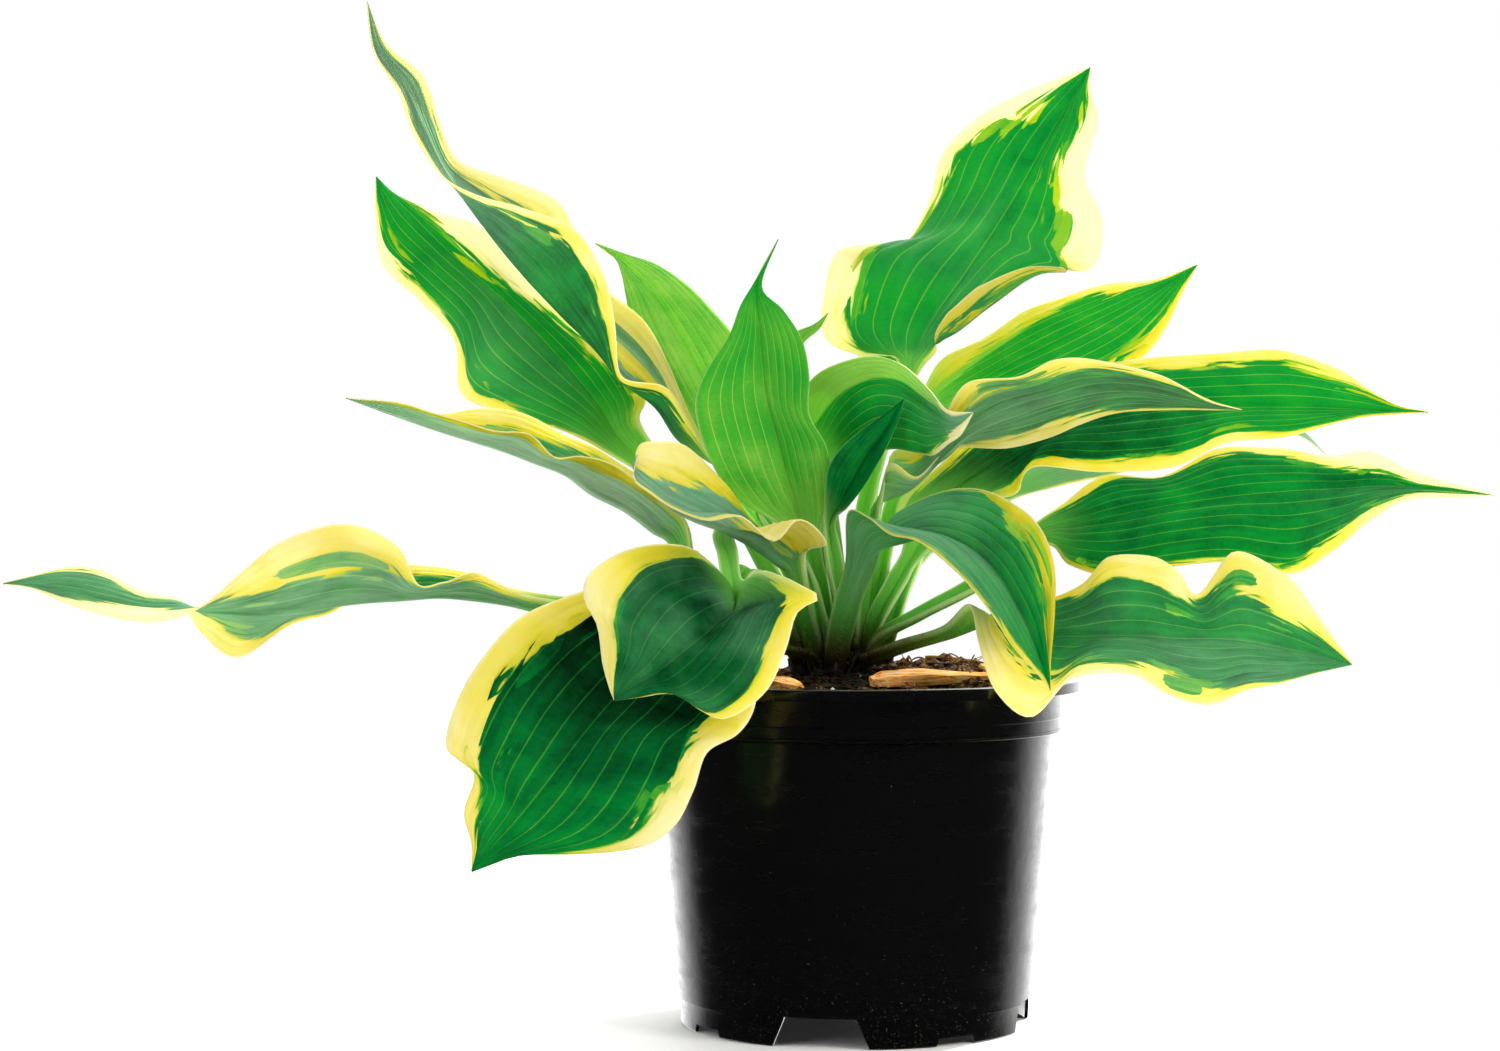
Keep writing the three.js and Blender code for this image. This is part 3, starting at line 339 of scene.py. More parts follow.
def leafMaterial(face):
    look, tones = leafFinish, leafTones
    material, tree, output = newMaterial(face["name"])

    # what buildLeaf lays on the mesh, three values to an attribute
    place = addNode(tree, "ShaderNodeAttribute", attribute_name="leafPlace").outputs["Vector"]
    laid = [addNode(tree, "ShaderNodeSeparateXYZ", {
        0: addNode(tree, "ShaderNodeAttribute", attribute_name=name).outputs["Vector"]}).outputs
        for name in ("leafForm", "leafTint", "leafMore", "leafLook")]
    (side, pale, blade), (ownTone, creamAndShade, lime), (rise, bloomAndSheen, island), (clear, dull, calm) = laid
    across = addNode(tree, "ShaderNodeMath", {0: side}, operation="ABSOLUTE").outputs[0]
    strokes = leafStrokeNodes(tree, place, across, pale, island, calm)
    streak, reach, paleShare, betweenShare, oliveDraw = strokes

    # green: each leaf's own tone, moved by broad patches, the long streaks and the fine grain
    patch, grain = [addNode(tree, "ShaderNodeTexNoise", {
        "Vector": place, "Scale": 1 / tones[size], "Detail": detail}).outputs["Fac"]
        for size, detail in (("patch", 4), ("grain", 2))]
    patchShift, streakShift, grainShift = [addNode(tree, "ShaderNodeMapRange", {
        "Value": source, "From Min": noiseLow, "From Max": noiseHigh, "To Min": -tones[by],
        "To Max": tones[by]}).outputs[0]
        for source, by in ((patch, "patchTone"), (streak, "streakTone"), (grain, "grainTone"))]
    band = addNode(tree, "ShaderNodeMath", {0: across, 1: lime}, operation="ADD").outputs[0]
    limeShift = addNode(tree, "ShaderNodeMapRange", {
        "Value": band, "From Min": tones["limeFrom"], "From Max": tones["limeTo"],
        "To Max": tones["limeTone"]}, interpolation_type="SMOOTHSTEP").outputs[0]
    tone = ownTone
    for shift in (patchShift, streakShift, grainShift, limeShift):
        tone = addNode(tree, "ShaderNodeMath", {0: tone, 1: shift}, operation="ADD").outputs[0]
    green = fillRamp(addNode(tree, "ShaderNodeValToRGB", {"Fac": tone}), look["greens"])
    lighter = addNode(tree, "ShaderNodeMath", {0: tone, 1: tones["lighterBy"], 2: tones["lighterFrom"]},
                      operation="MULTIPLY_ADD").outputs[0]
    lighter = fillRamp(addNode(tree, "ShaderNodeValToRGB", {"Fac": lighter}), look["greens"])
    bright = addNode(tree, "ShaderNodeMapRange", {
        "Value": tone, "From Min": tones["oliveFrom"], "From Max": tones["oliveTo"]}).outputs[0]
    bright = addNode(tree, "ShaderNodeMath", {0: bright, 1: oliveDraw}, operation="MULTIPLY").outputs[0]
    between = addNode(tree, "ShaderNodeMix", {0: bright, 6: lighter, 7: hexColor(look["olive"])},
                      data_type="RGBA").outputs[2]
    green = addNode(tree, "ShaderNodeMix", {0: betweenShare, 6: green, 7: between},
                    data_type="RGBA").outputs[2]

    # veins: equal shares of each half, so they meet at the base and the tip
    count = addNode(tree, "ShaderNodeMath", {0: across, 1: tones["veinCount"]}, operation="MULTIPLY")
    gap = addNode(tree, "ShaderNodeMath", {0: count.outputs[0], 1: 0.5}, operation="PINGPONG").outputs[0]
    vein, valley = [addNode(tree, "ShaderNodeMapRange", {
        "Value": gap, "From Min": 0.0, "From Max": tones[width], "To Min": most, "To Max": 0},
        interpolation_type="SMOOTHSTEP").outputs[0]
        for width, most in (("veinWidth", face["veinLight"]), ("valleyWidth", 1))]
    vein = addNode(tree, "ShaderNodeMath", {0: vein, 1: clear}, operation="MULTIPLY",
                   use_clamp=True).outputs[0]
    veinTone = addNode(tree, "ShaderNodeMath", {0: tone, 1: tones["veinBy"], 2: tones["veinFrom"]},
                       operation="MULTIPLY_ADD").outputs[0]
    veinGreen = fillRamp(addNode(tree, "ShaderNodeValToRGB", {"Fac": veinTone}), look["veins"])

    # veil: waxy bloom, which on the upper face also paints a grey sheen, thicker in long streaks, or in clouds
    # on a calm leaf
    streaked = addNode(tree, "ShaderNodeMapRange", {
        "Value": streak, "From Min": noiseLow, "From Max": noiseHigh, "To Min": tones["streakedVeil"][0],
        "To Max": tones["streakedVeil"][1]}).outputs[0]
    clouded = addNode(tree, "ShaderNodeMapRange", {
        "Value": patch, "From Min": tones["cloudFrom"], "From Max": tones["cloudTo"], "To Min": 0,
        "To Max": tones["cloudedVeil"]}).outputs[0]
    uneven = addNode(tree, "ShaderNodeMix", {0: calm, 2: streaked, 3: clouded}).outputs[0]
    veil = addNode(tree, "ShaderNodeMath", {0: bloomAndSheen if face["veilBy"] == "bloomAndSheen" else dull, 1: uneven},
                   operation="MULTIPLY", use_clamp=True).outputs[0]
    green, veinGreen = [addNode(tree, "ShaderNodeMix", {0: veil, 6: bare, 7: hexColor(face[veiled])},
                                data_type="RGBA").outputs[2]
                        for bare, veiled in ((green, "veil"), (veinGreen, "veilLine"))]
    green = addNode(tree, "ShaderNodeMix", {0: vein, 6: green, 7: veinGreen}, data_type="RGBA").outputs[2]

    # pale edge: yellow by the green, creamier outwards, with a line of olive inside and a light rim
    outward = addNode(tree, "ShaderNodeMapRange", {
        "Value": reach, "From Min": 1.0, "From Max": tones["creamReach"], "To Min": tones["creamFrom"],
        "To Max": tones["creamTo"]}).outputs[0]
    # a cream value below 0 turns the edge towards olive: painted shade
    creamTone = addNode(tree, "ShaderNodeMath", {0: creamAndShade, 1: outward}, operation="ADD").outputs[0]
    creamTone = addNode(tree, "ShaderNodeMath", {0: patchShift, 1: tones["creamPatch"], 2: creamTone},
                        operation="MULTIPLY_ADD").outputs[0]
    creamTone = addNode(tree, "ShaderNodeMath", {0: creamTone, 1: 0.5, 2: 0.5}, operation="MULTIPLY_ADD",
                        use_clamp=True).outputs[0]  # from -1 to 1 onto the ramp
    margin = fillRamp(addNode(tree, "ShaderNodeValToRGB", {"Fac": creamTone}), look["margins"])
    lineFrom, lineTo, lineShare = tones["oliveLine"]
    inner = addNode(tree, "ShaderNodeMapRange", {
        "Value": reach, "From Min": lineFrom, "From Max": lineTo, "To Min": lineShare, "To Max": 0}).outputs[0]
    margin = addNode(tree, "ShaderNodeMix", {0: inner, 6: margin, 7: hexColor(look["olive"])},
                     data_type="RGBA").outputs[2]
    body = addNode(tree, "ShaderNodeMix", {0: paleShare, 6: green, 7: margin}, data_type="RGBA").outputs[2]
    rim = addNode(tree, "ShaderNodeMapRange", {
        "Value": across, "From Min": tones["rimFrom"], "From Max": tones["rimTo"],
        "To Max": tones["rimShare"]}).outputs[0]
    paleRim = addNode(tree, "ShaderNodeMapRange", {
        "Value": pale, "From Max": tones["rimPale"], "To Min": tones["rimGreen"]}).outputs[0]
    rim = addNode(tree, "ShaderNodeMath", {0: rim, 1: paleRim}, operation="MULTIPLY").outputs[0]
    body = addNode(tree, "ShaderNodeMix", {0: rim, 6: body, 7: hexColor(look["rim"])},
                   data_type="RGBA").outputs[2]
    body = addNode(tree, "ShaderNodeMix", {0: blade, 6: stalkNodes(tree, place, across, rise), 7: body},
                   data_type="RGBA").outputs[2]

    # relief: veins and the fine cell grain between them
    ridge = addNode(tree, "ShaderNodeMath", {0: valley, 1: face["vein"]}, operation="MULTIPLY").outputs[0]
    relief = addNode(tree, "ShaderNodeMath", {0: grain, 1: leafSkin["grainRelief"], 2: ridge},
                     operation="MULTIPLY_ADD").outputs[0]
    bump = addNode(tree, "ShaderNodeBump", {
        "Height": relief, "Strength": leafSkin["strength"], "Distance": leafSkin["relief"] * mm}).outputs[0]
    gloss = addNode(tree, "ShaderNodeMapRange", {
        "Value": patch, "From Min": noiseLow, "From Max": noiseHigh,
        "To Min": face["roughness"] - leafSkin["glossier"],
        "To Max": face["roughness"] + leafSkin["rougher"]}).outputs[0]
    skin = addNode(tree, "ShaderNodeBsdfPrincipled", {
        "Base Color": body, "Roughness": gloss, "IOR": look["ior"], "Normal": bump,
        "Specular IOR Level": look["shine"]})

    # light through the sheet turns yellower, most in the green
    tinted = addNode(tree, "ShaderNodeMath", {
        0: paleShare, 1: leafSkin["throughPale"], 2: leafSkin["throughGreen"]},
        operation="MULTIPLY_ADD").outputs[0]
    deep = addNode(tree, "ShaderNodeMapRange", {"Value": tone, "From Max": leafSkin["deepTone"]}).outputs[0]
    tinted = addNode(tree, "ShaderNodeMath", {0: tinted, 1: deep}, operation="MULTIPLY").outputs[0]
    through = addNode(tree, "ShaderNodeMix", {0: tinted, 6: body, 7: hexColor(look["through"])},
                      data_type="RGBA").outputs[2]
    glow = addNode(tree, "ShaderNodeBsdfTranslucent", {"Color": through, "Normal": bump})
    both = addNode(tree, "ShaderNodeMixShader", {0: face["glow"], 1: skin.outputs[0], 2: glow.outputs[0]})
    tree.links.new(both.outputs[0], output.inputs["Surface"])
    return material


leafUpper = leafMaterial(leafFaces["upper"])
leafUnder = leafMaterial(leafFaces["under"])

# Each leaf as read from the front: its foot in the crown, its stalk, and rows across its blade from base to
# tip, with x and z as seen, depth behind the pot's axis, and the edges' depths past the rib, all in mm. half
# is half the stalk's width, bulge how far each half crowns between rib and edge, and ridge the share of the
# rib that stands out below. A value given for the left or right half alone has that side in its name, and a
# list goes row by row. tone runs from dark to lime green, and the darker rows near the stalk of some leaves
# are painted shade; veins tells how clear the vein lines are. pale is the share of the half that its pale edge
# takes, and cream its colour, from olive at -1, which is painted shade, to cream at 1, and lime the share that
# a soft lime edge takes. bloom and sheen veil the upper face, as waxy bloom and a painted grey sheen, and dull
# veils the under face. calm shortens the strokes and gathers the veil in clouds. An island is a patch of green
# in the pale edge, with its side, first and last row, and shares of the half. A fold turns up bands of the
# edge, from a share of the half, by its degrees.
leaves = [
    dict(name="leaf_left_low", foot=(-15, -19),
         stalk=[(-18, 152, -20), (-31, 156, -21), (-60, 164, -26), (-98, 172, -28)],
         rows=[
             (-128, 176, -5, -128, 172, -30, -130, 178, 5), (-145, 180, -9, -145, 175, -32, -148, 182, 9),
             (-160, 188, -11, -160, 177, -34, -166, 188, 13), (-172, 183, -13, -174, 178, -36, -180, 191, 13),
             (-183, 182, -15, -188, 177, -38, -192, 190, 15), (-192, 199, -14, -202, 176, -40, -205, 182, 18),
             (-214, 208, -12, -217, 174, -42, -220, 171, 20), (-240, 201, -12, -234, 171, -44, -237, 166, 18),
             (-257, 188, -12, -250, 170, -46, -259, 152, 12), (-271, 175, -12, -268, 171, -48, -274, 162, 12),
             (-283, 169, -12, -283, 173, -50, -284, 175, 12), (-298, 167, -11, -298, 173, -52, -299, 180, 10),
             (-316, 170, -8, -314, 176, -54, -317, 188, 8), (-332, 175, -5, -331, 180, -56, -331, 190, 5),
             (-346, 181, -2, -345, 182, -58, -346, 186, 2),
         ],
         tip=(-358, 183, -60), tone=.42, creamAndShade=[.1, .1, .1, .1, .1, .15, .15, .3, .4, .4, .8, .9, .9, .8, .8],
         veins=1, bloomAndSheen=[.1, .1, .1, .1, .1, .1, .1, .15, .3, .4, .45, .45, .42, .4, .4], dull=.5,
         paleLeft=[.4, .5, .42, .15, .1, .5, .66, .68, .6, .3, .5, .9, .7, .35, .15],
         paleRight=[.4, .4, .35, .5, .5, .3, .1, .1, .42, .6, .4, .6, .25, .2, .1],
         islands=[(-1, 5, 7.3, .44, .64)]),
    dict(name="leaf_left_tall", foot=(-16, 3),
         stalk=[(-19, 165, 6), (-32, 200, 8), (-50, 226, 11)],
         rows=[
             (-61, 240, 5, -64, 236, 14, -62, 239, -3), (-70, 256, 10, -75, 244, 16, -70, 252, -6),
             (-78, 275, 14, -84, 257, 18, -80, 266, -9), (-88, 293, 17, -98, 268, 20, -99, 270, -11),
             (-103, 305, 19, -110, 282, 22, -101, 294, -12), (-114, 316, 20, -125, 297, 24, -106, 314, -12),
             (-119, 334, 20, -140, 313, 26, -118, 332, -11), (-127, 345, 18, -153, 329, 28, -140, 341, -9),
             (-149, 354, 14, -164, 344, 30, -160, 347, -8), (-167, 362, 10, -173, 357, 32, -174, 355, -7),
             (-175, 379, 8, -181, 374, 34, -186, 373, -6), (-181, 396, 6, -189, 392, 36, -192, 390, -5),
             (-197, 410, 3, -200, 408, 38, -202, 406, -3),
         ],
         tip=(-205, 428, 40), tone=.34, creamAndShade=[.2, .2, .2, .2, .3, .5, .6, .6, .6, .6, .7, .75, .7], veins=.3,
         bloomAndSheen=[.1, .1, .05, .05, .05, .05, .1, .3, .5, .55, .5, .4, .3], dull=.5,
         paleLeft=[.4, .45, .6, .75, .6, .5, .4, .4, .4, .4, .3, .35, .3],
         paleRight=[.3, .3, .3, .3, .25, .2, .2, .25, .3, .4, .45, .5, .3], islands=[(-1, 1.6, 4.2, .5, .72)]),
    dict(name="leaf_left_broad", foot=(-20, 12),
         stalk=[(-24, 170, 15), (-46, 205, 24), (-74, 223, 32)],
         rows=[
             (-101, 236, -2, -98, 243, 40, -90, 250, 3), (-122, 247, -8, -108, 259, 44, -88, 262, 6),
             (-152, 256, -14, -123, 277, 50, -99, 280, 9), (-166, 264, -17, -139, 294, 56, -115, 291, 8),
             (-168, 285, -13, -154, 308, 62, -137, 313, 9), (-183, 302, -10, -171, 323, 68, -157, 333, 9),
             (-198, 317, -6, -187, 339, 74, -177, 340, 6), (-201, 338, -2, -196, 348, 78, -192, 345, 3),
         ],
         tip=(-201, 354, 81), tone=.55, creamAndShade=[.1, .1, .3, .6, .9, .95, .9, .8], veins=.75,
         bloomAndSheenLeft=[0, .06, .14, .18, .1, .02, 0, 0], paleLeft=[.12, .05, .12, .16, .08, .18, .32, .3],
         paleRight=[.3, .22, .52, .4, .72, .78, .55, .4], islands=[(1, 1.1, 2.4, .64, .88)]),
    dict(name="leaf_left_long", foot=(-23, 5),
         stalk=[(-25, 156, 5), (-44, 159, 2), (-66, 181, -4)],
         rows=[
             (-70, 206, -6, -76, 200, -5, -76, 212, 6), (-76, 214, -8, -84, 205, -6, -86, 224, 9),
             (-90, 226, -9, -96, 214, -7, -98, 233, 11), (-103, 234, -9, -110, 221, -8, -110, 241, 13),
             (-116, 237, -10, -121, 229, -9, -122, 246, 14), (-126, 236, -11, -134, 234, -10, -134, 252, 14),
             (-137, 246, -10, -147, 239, -11, -147, 256, 13), (-152, 247, -9, -160, 243, -12, -160, 257, 12),
             (-166, 251, -7, -173, 247, -13, -172, 254, 9), (-178, 255, -5, -185, 251, -14, -182, 254, 6),
             (-191, 259, -3, -197, 255, -15, -193, 257, 3),
         ],
         tip=(-214, 261, -16), tone=.48, creamAndShade=0, creamAndShadeLeft=-.45, veins=.9, bloomAndSheen=.25,
         dull=[.5, .7, .9, 1, 1, 1, 1, 1, 1, .9, .8],
         paleLeft=[.2, .3, .4, .45, .45, .4, .35, .35, .35, .3, .3],
         paleRight=[.2, .25, .3, .35, .4, .5, .6, .7, .4, .3, .3], islands=[(1, 3.4, 6.6, .34, .5)]),
    dict(name="leaf_left_middle", foot=(-17, -10),
         stalk=[(-18, 156, -13), (-22, 172, -22)],
         rows=[
             (-21, 196, -6, -27, 188, -28, -35, 200, 5), (-12, 199, -9, -33, 192, -31, -40, 206, 8),
             (-15, 205, -11, -40, 197, -33, -46, 213, 10), (-24, 209, -12, -48, 202, -35, -52, 222, 12),
             (-34, 201, -13, -57, 206, -36, -59, 230, 13), (-47, 212, -12, -66, 209, -37, -66, 237, 13),
             (-62, 210, -11, -75, 213, -38, -74, 242, 12), (-76, 214, -9, -83, 219, -38, -82, 243, 10),
             (-86, 221, -6, -89, 226, -38, -89, 242, 7), (-93, 227, -3, -93, 232, -38, -92, 238, 3),
         ],
         tip=(-91, 237, -39), tone=.42, creamAndShade=[.1, -.1, -.25, -.25, -.1, .1, .2, .2, .2, .2],
         creamAndShadeLeft=[.2, 0, -.15, -.05, .3, .45, .5, .5, .5, .5], veins=.15,
         bloomAndSheen=[.1, .1, .2, .4, .7, .8, .85, .85, .85, .8], dull=[.35, .35, .35, .45, .7, .85, .9, .9, .9, .8],
         paleLeft=[.3, .6, .75, .75, .6, .2, .12, .12, .15, .3],
         paleRight=[.2, .2, .25, .35, .45, .6, .68, .7, .8, .85]),
    dict(name="leaf_front_small", foot=(-22, -2),
         stalk=[(-25, 164, -4), (-38, 191, -11), (-49, 208, -14), (-55, 203, -24), (-53, 194, -45),
                (-51, 182, -76)],
         rows=[
             (-36, 188, -8, -50, 173, -102, -57, 188, 4), (-15, 178, -8, -53, 170, -105, -68, 198, 8),
             (-24, 171, -6, -58, 166, -107, -84, 200, 14), (-29, 155, -5, -65, 160, -109, -99, 196, 14),
             (-38, 137, -4, -74, 153, -111, -114, 183, -14), (-56, 126, -2, -83, 146, -112, -108, 166, -8),
             (-74, 136, -1, -91, 141, -113, -106, 150, 0), (-90, 135, 0, -98, 136, -113, -103, 139, 0),
         ],
         tip=(-101, 134, -113), tone=[.16, .18, .2, .25, .29, .3, .3, .3], creamAndShade=0,
         creamAndShadeLeft=[-.5, 0, .1, .15, .15, .2, .3, .3], creamAndShadeRight=[-.6, -.6, -.45, -.15, .4, .5, .5, .4],
         veins=.35, bloomAndSheen=[.1, .1, .08, .08, .06, .05, .04, .03], calm=.85,
         paleLeft=[.15, .35, .18, .25, .2, .15, .1, .2], paleRight=[.12, .15, .25, .25, .35, .3, .4, .4]),
    dict(name="leaf_front_hanging", foot=(-23, -10),
         stalk=[(-28, 160, -10), (-38, 182, -28), (-46, 188, -48), (-52, 178, -64)],
         rows=[
             (-50, 160, -4, -68, 166, -76, -84, 180, 3), (-42, 145, -6, -78, 158, -83, -108, 182, 5),
             (-42, 131, -8, -90, 147, -88, -128, 175, 6), (-49, 120, -8, -102, 134, -93, -144, 166, 6),
             (-62, 112, -8, -113, 121, -98, -161, 145, 5), (-68, 96, -8, -123, 108, -101, -171, 122, 4),
             (-76, 81, -7, -133, 95, -104, -171, 112, 3), (-90, 72, -5, -142, 84, -106, -160, 103, 2),
             (-119, 69, -3, -151, 74, -107, -164, 87, 1), (-142, 68, -1, -157, 67, -108, -161, 74, 0),
         ],
         # its darkest tones, in the first rows at the top of the blade, are a painted shadow cast by the leaf
         # over it
         tip=(-161, 62, -108), tone=[.02, .02, .04, .1, .22, .32, .37, .4, .41, .41], creamAndShade=.1,
         creamAndShadeLeft=[.1, .1, .1, .15, .5, .7, .75, .5, .3, .3],
         creamAndShadeRight=[0, 0, 0, .05, .2, .45, .5, .3, .3, .3], veins=.6,
         paleLeft=[.25, .3, .3, .3, .2, .2, .22, .15, .14, .12],
         paleRight=[.3, .35, .35, .22, .26, .28, .28, .12, .33, .45]),
    dict(name="leaf_centre_upright", foot=(-10, -4), slot="lime_leaf",
         stalk=[(-10, 155, -5), (-14, 178, -6), (-18, 194, -7)],
         rows=[
             (-33, 208, -3, -22, 208, -8, -13, 207, -3), (-46, 216, -6, -25, 218, -8, -10, 215, -5),
             (-57, 228, -9, -29, 230, -8, -10, 228, -7), (-64, 243, -11, -33, 245, -7, -12, 241, -8),
             (-67, 259, -12, -37, 260, -6, -19, 254, -8), (-62, 273, -10, -39, 275, -4, -19, 270, -8),
             (-53, 287, -7, -40, 288, -2, -22, 285, -6), (-48, 300, -4, -41, 299, 0, -30, 298, -3),
             (-42, 310, -1, -41, 310, 1, -39, 308, -1),
         ],
         tip=(-32, 328, 3), ridge=.3, bulge=.05, tone=[.98, .92, .84, .8, .78, .76, .74, .7, .62], creamAndShade=0,
         veins=.8, paleLeft=[0], paleRight=[0]),
    dict(name="leaf_spear", foot=(-3, -8),
         stalk=[(-5, 160, -7), (-9, 190, -10)],
         rows=[
             (-13, 209, -4, -11, 206, -13, -8, 209, -3), (-12, 222, -6, -7, 215, -14, -3, 215, -4),
             (-11, 232, -6, -2, 224, -15, 4, 224, -4), (-6, 240, -5, 4, 235, -17, 11, 236, -4),
             (2, 247, -4, 11, 245, -18, 15, 244, -3), (12, 254, -2, 16, 253, -18, 18, 251, -2),
         ],
         tip=(21, 261, -18), tone=.34, creamAndShade=0, veins=.25, paleLeft=[0], paleRight=[0]),
    dict(name="leaf_centre_arching", foot=(-5, 1),
         stalk=[(-6, 165, 3), (-10, 200, 7), (-13, 228, 9)],
         rows=[
             (-22, 243, 5, -14, 240, 9, -6, 236, 0), (-24, 256, 7, -10, 250, 8, 2, 238, -1),
             (-18, 269, 9, -3, 260, 4, 10, 239, -2), (-6, 276, 10, 6, 266, -1, 18, 240, -7),
             (8, 279, 10, 16, 266, -7, 26, 238, -11), (20, 275, 9, 26, 261, -14, 33, 237, -9),
             (32, 264, 6, 35, 254, -25, 40, 242, -6), (39, 256, 2, 42, 251, -34, 45, 246, -2),
         ],
         tip=(50, 255, -38), tone=.52, creamAndShade=.9, veins=.8, bloomAndSheen=[0, 0, 0, 0, .03, .05, .2, .7],
         limeLeft=[.3, .7, .8, .85, .8, .7, .6, .3], paleLeft=[0, 0, .02, .03, .03, .04, .08, .4],
         paleRight=[0, 0, 0, 0, 0, .05, .15, .6]),
    dict(name="leaf_right_tall", foot=(-2, 9),
         stalk=[(-1, 175, 14), (5, 215, 20), (16, 255, 27)],
         rows=[
             (18, 277, 4, 23, 275, 30, 28, 273, -3), (2, 279, 10, 26, 281, 33, 34, 280, -6),
             (-12, 286, 14, 30, 289, 37, 36, 285, -9), (-13, 302, 17, 36, 299, 42, 44, 290, -12),
             (-8, 321, 19, 44, 310, 48, 58, 301, -14), (5, 325, 19, 52, 322, 54, 77, 313, -15),
             (21, 326, 18, 60, 334, 60, 100, 316, -15), (31, 343, 16, 68, 347, 67, 104, 337, -13),
             (37, 363, 13, 76, 361, 74, 97, 356, -9), (52, 379, 9, 84, 375, 81, 102, 377, -6),
             (75, 391, 5, 92, 388, 88, 99, 390, -3),
         ],
         tip=(99, 400, 94), tone=.5, creamAndShade=.9, creamAndShadeRight=[.2, .2, .1, .1, .1, .1, .7, .9, .9, .9, .9],
         veins=.55, bloomAndSheenLeft=[.1, .08, .03, 0, .05, .08, .1, .03, 0, 0, 0],
         bloomAndSheenRight=[.15, .15, .15, .12, .1, .06, .03, 0, 0, 0, 0],
         paleLeft=[.3, .13, .25, .24, .23, .15, .06, .14, .2, .6, .5],
         paleRight=[.3, .25, .2, .24, .24, .24, .3, .56, .5, .3, .14],
         islands=[(-1, 7.7, 8.9, .3, .72), (1, 5.8, 6.8, .4, .68)],
         foldRight=dict(share=.62, degrees=165, bands=[0, 0, 4, 11, 12, 7, 0, 0, 0, 0, 0])),
    dict(name="leaf_right_upper", foot=(6, 5),
         stalk=[(9, 172, 7), (16, 212, 19), (26, 243, 30)],
         rows=[
             (30, 266, 5, 34, 258, 36, 42, 252, -4), (38, 278, 8, 48, 266, 40, 62, 256, -6),
             (55, 287, 10, 64, 275, 44, 84, 262, -8), (72, 298, 11, 82, 284, 48, 104, 268, -8),
             (90, 304, 10, 100, 293, 52, 121, 278, -7), (108, 309, 7, 116, 301, 55, 131, 291, -5),
             (127, 311, 3, 131, 309, 58, 138, 306, -2),
         ],
         tip=(144, 317, 60), tone=[.74, .7, .64, .62, .6, .58, .56], creamAndShade=0,
         creamAndShadeLeft=[-.05, -.05, 0, .1, .2, .3, .3], veins=.7, limeLeft=[.7, .65, .55, .45, .3, .2, .1],
         paleLeft=[.5, .5, .4, .32, .3, .5, .5], paleRight=[.15, .15, .15, .2, .2, .22, .15]),
    dict(name="leaf_right_far", foot=(5, -4), half=5,
         stalk=[(9, 165, -5), (18, 183, 1), (25, 196, 7)],
         rows=[
             (18, 217, -7, 39, 219, 12, 54, 216, -5), (38, 235, 0, 56, 232, 14, 68, 221, -8),
             (68, 262, 14, 86, 247, 16, 75, 232, -10), (92, 273, 16, 112, 253, 16, 104, 230, -12),
             (122, 278, 17, 138, 256, 15, 134, 232, -13), (150, 280, 16, 164, 257, 13, 156, 242, -11),
             (178, 281, 14, 190, 257, 11, 182, 245, -9), (205, 272, 9, 214, 256, 9, 208, 252, -5),
             (226, 259, 4, 230, 255, 7, 226, 254, -2),
         ],
         # the darker tones of its first rows are painted shade
         tip=(241, 255, 6), tone=[.26, .24, .22, .28, .4, .5, .53, .53, .5], creamAndShade=0,
         creamAndShadeLeft=[-.2, -.2, 0, .1, .1, .2, .3, .3, .3], creamAndShadeRight=[-.4, -.35, -.2, .1, .3, .3, .2, .2, .2],
         veins=.8, paleLeft=[.2, .25, .2, .2, .25, .27, .32, .45, .5],
         paleRight=[.2, .2, .15, .22, .15, .25, .1, .12, .3]),
    dict(name="leaf_right_grey", foot=(0, -1),
         stalk=[(3, 168, 0), (6, 193, -1), (8, 206, -2)],
         rows=[
             (14, 233, -5, 10, 216, -3, 15, 237, 5), (26, 228, -4, 23, 222, -4, 26, 239, 4),
             (36, 237, 1, 37, 235, -7, 34, 248, -1), (46, 240, 7, 50, 247, -12, 39, 256, -7),
             (64, 240, 10, 68, 254, -18, 48, 268, -11), (80, 244, 11, 86, 260, -21, 68, 270, -12),
             (95, 250, 11, 104, 264, -23, 84, 277, -12), (112, 255, 9, 122, 264, -24, 106, 276, -10),
             (132, 256, 6, 138, 261, -24, 128, 271, -7), (150, 256, 3, 152, 258, -24, 148, 260, -3),
         ],
         tip=(163, 256, -24), tone=[.44, .44, .44, .43, .4, .37, .34, .34, .34, .34], creamAndShade=.25, creamAndShadeLeft=.45,
         creamAndShadeRight=[0, 0, -.1, 0, .1, .2, .3, .4, .4, .4], veins=1, bloomAndSheen=.4,
         bloomAndSheenLeft=[.62, .62, .62, .6, .5, .4, .3, .3, .3, .3],
         bloomAndSheenRight=[.3, .3, .2, .1, .1, .1, .1, .15, .25, .3],
         dull=[.55, .55, .55, .5, .36, .26, .2, .2, .2, .2],
         paleLeft=[.15, .15, .25, .15, .3, .35, .25, .1, .1, .2],
         paleRight=[.3, .3, .35, .4, .35, .3, .4, .45, .5, .4], islands=[(1, 4, 5.6, .72, .88)]),
    dict(name="leaf_right_broad", foot=(4, -12), half=5,
         stalk=[(9, 159, -15), (28, 170, -19), (54, 184, -22)],
         rows=[
             (76, 208, 6, 76, 204, -24, 80, 199, -5), (88, 217, 11, 96, 209, -28, 90, 191, -10),
             (104, 227, 14, 116, 213, -32, 108, 186, -13), (128, 228, 15, 138, 217, -36, 132, 190, -14),
             (152, 240, 16, 160, 220, -40, 156, 192, -14), (176, 240, 16, 182, 222, -44, 183, 187, -13),
             (198, 237, 13, 204, 223, -47, 200, 196, -10), (216, 239, 9, 222, 224, -50, 216, 209, -7),
             (233, 231, 5, 238, 223, -52, 232, 218, -4), (252, 225, 2, 254, 222, -54, 252, 219, -2),
         ],
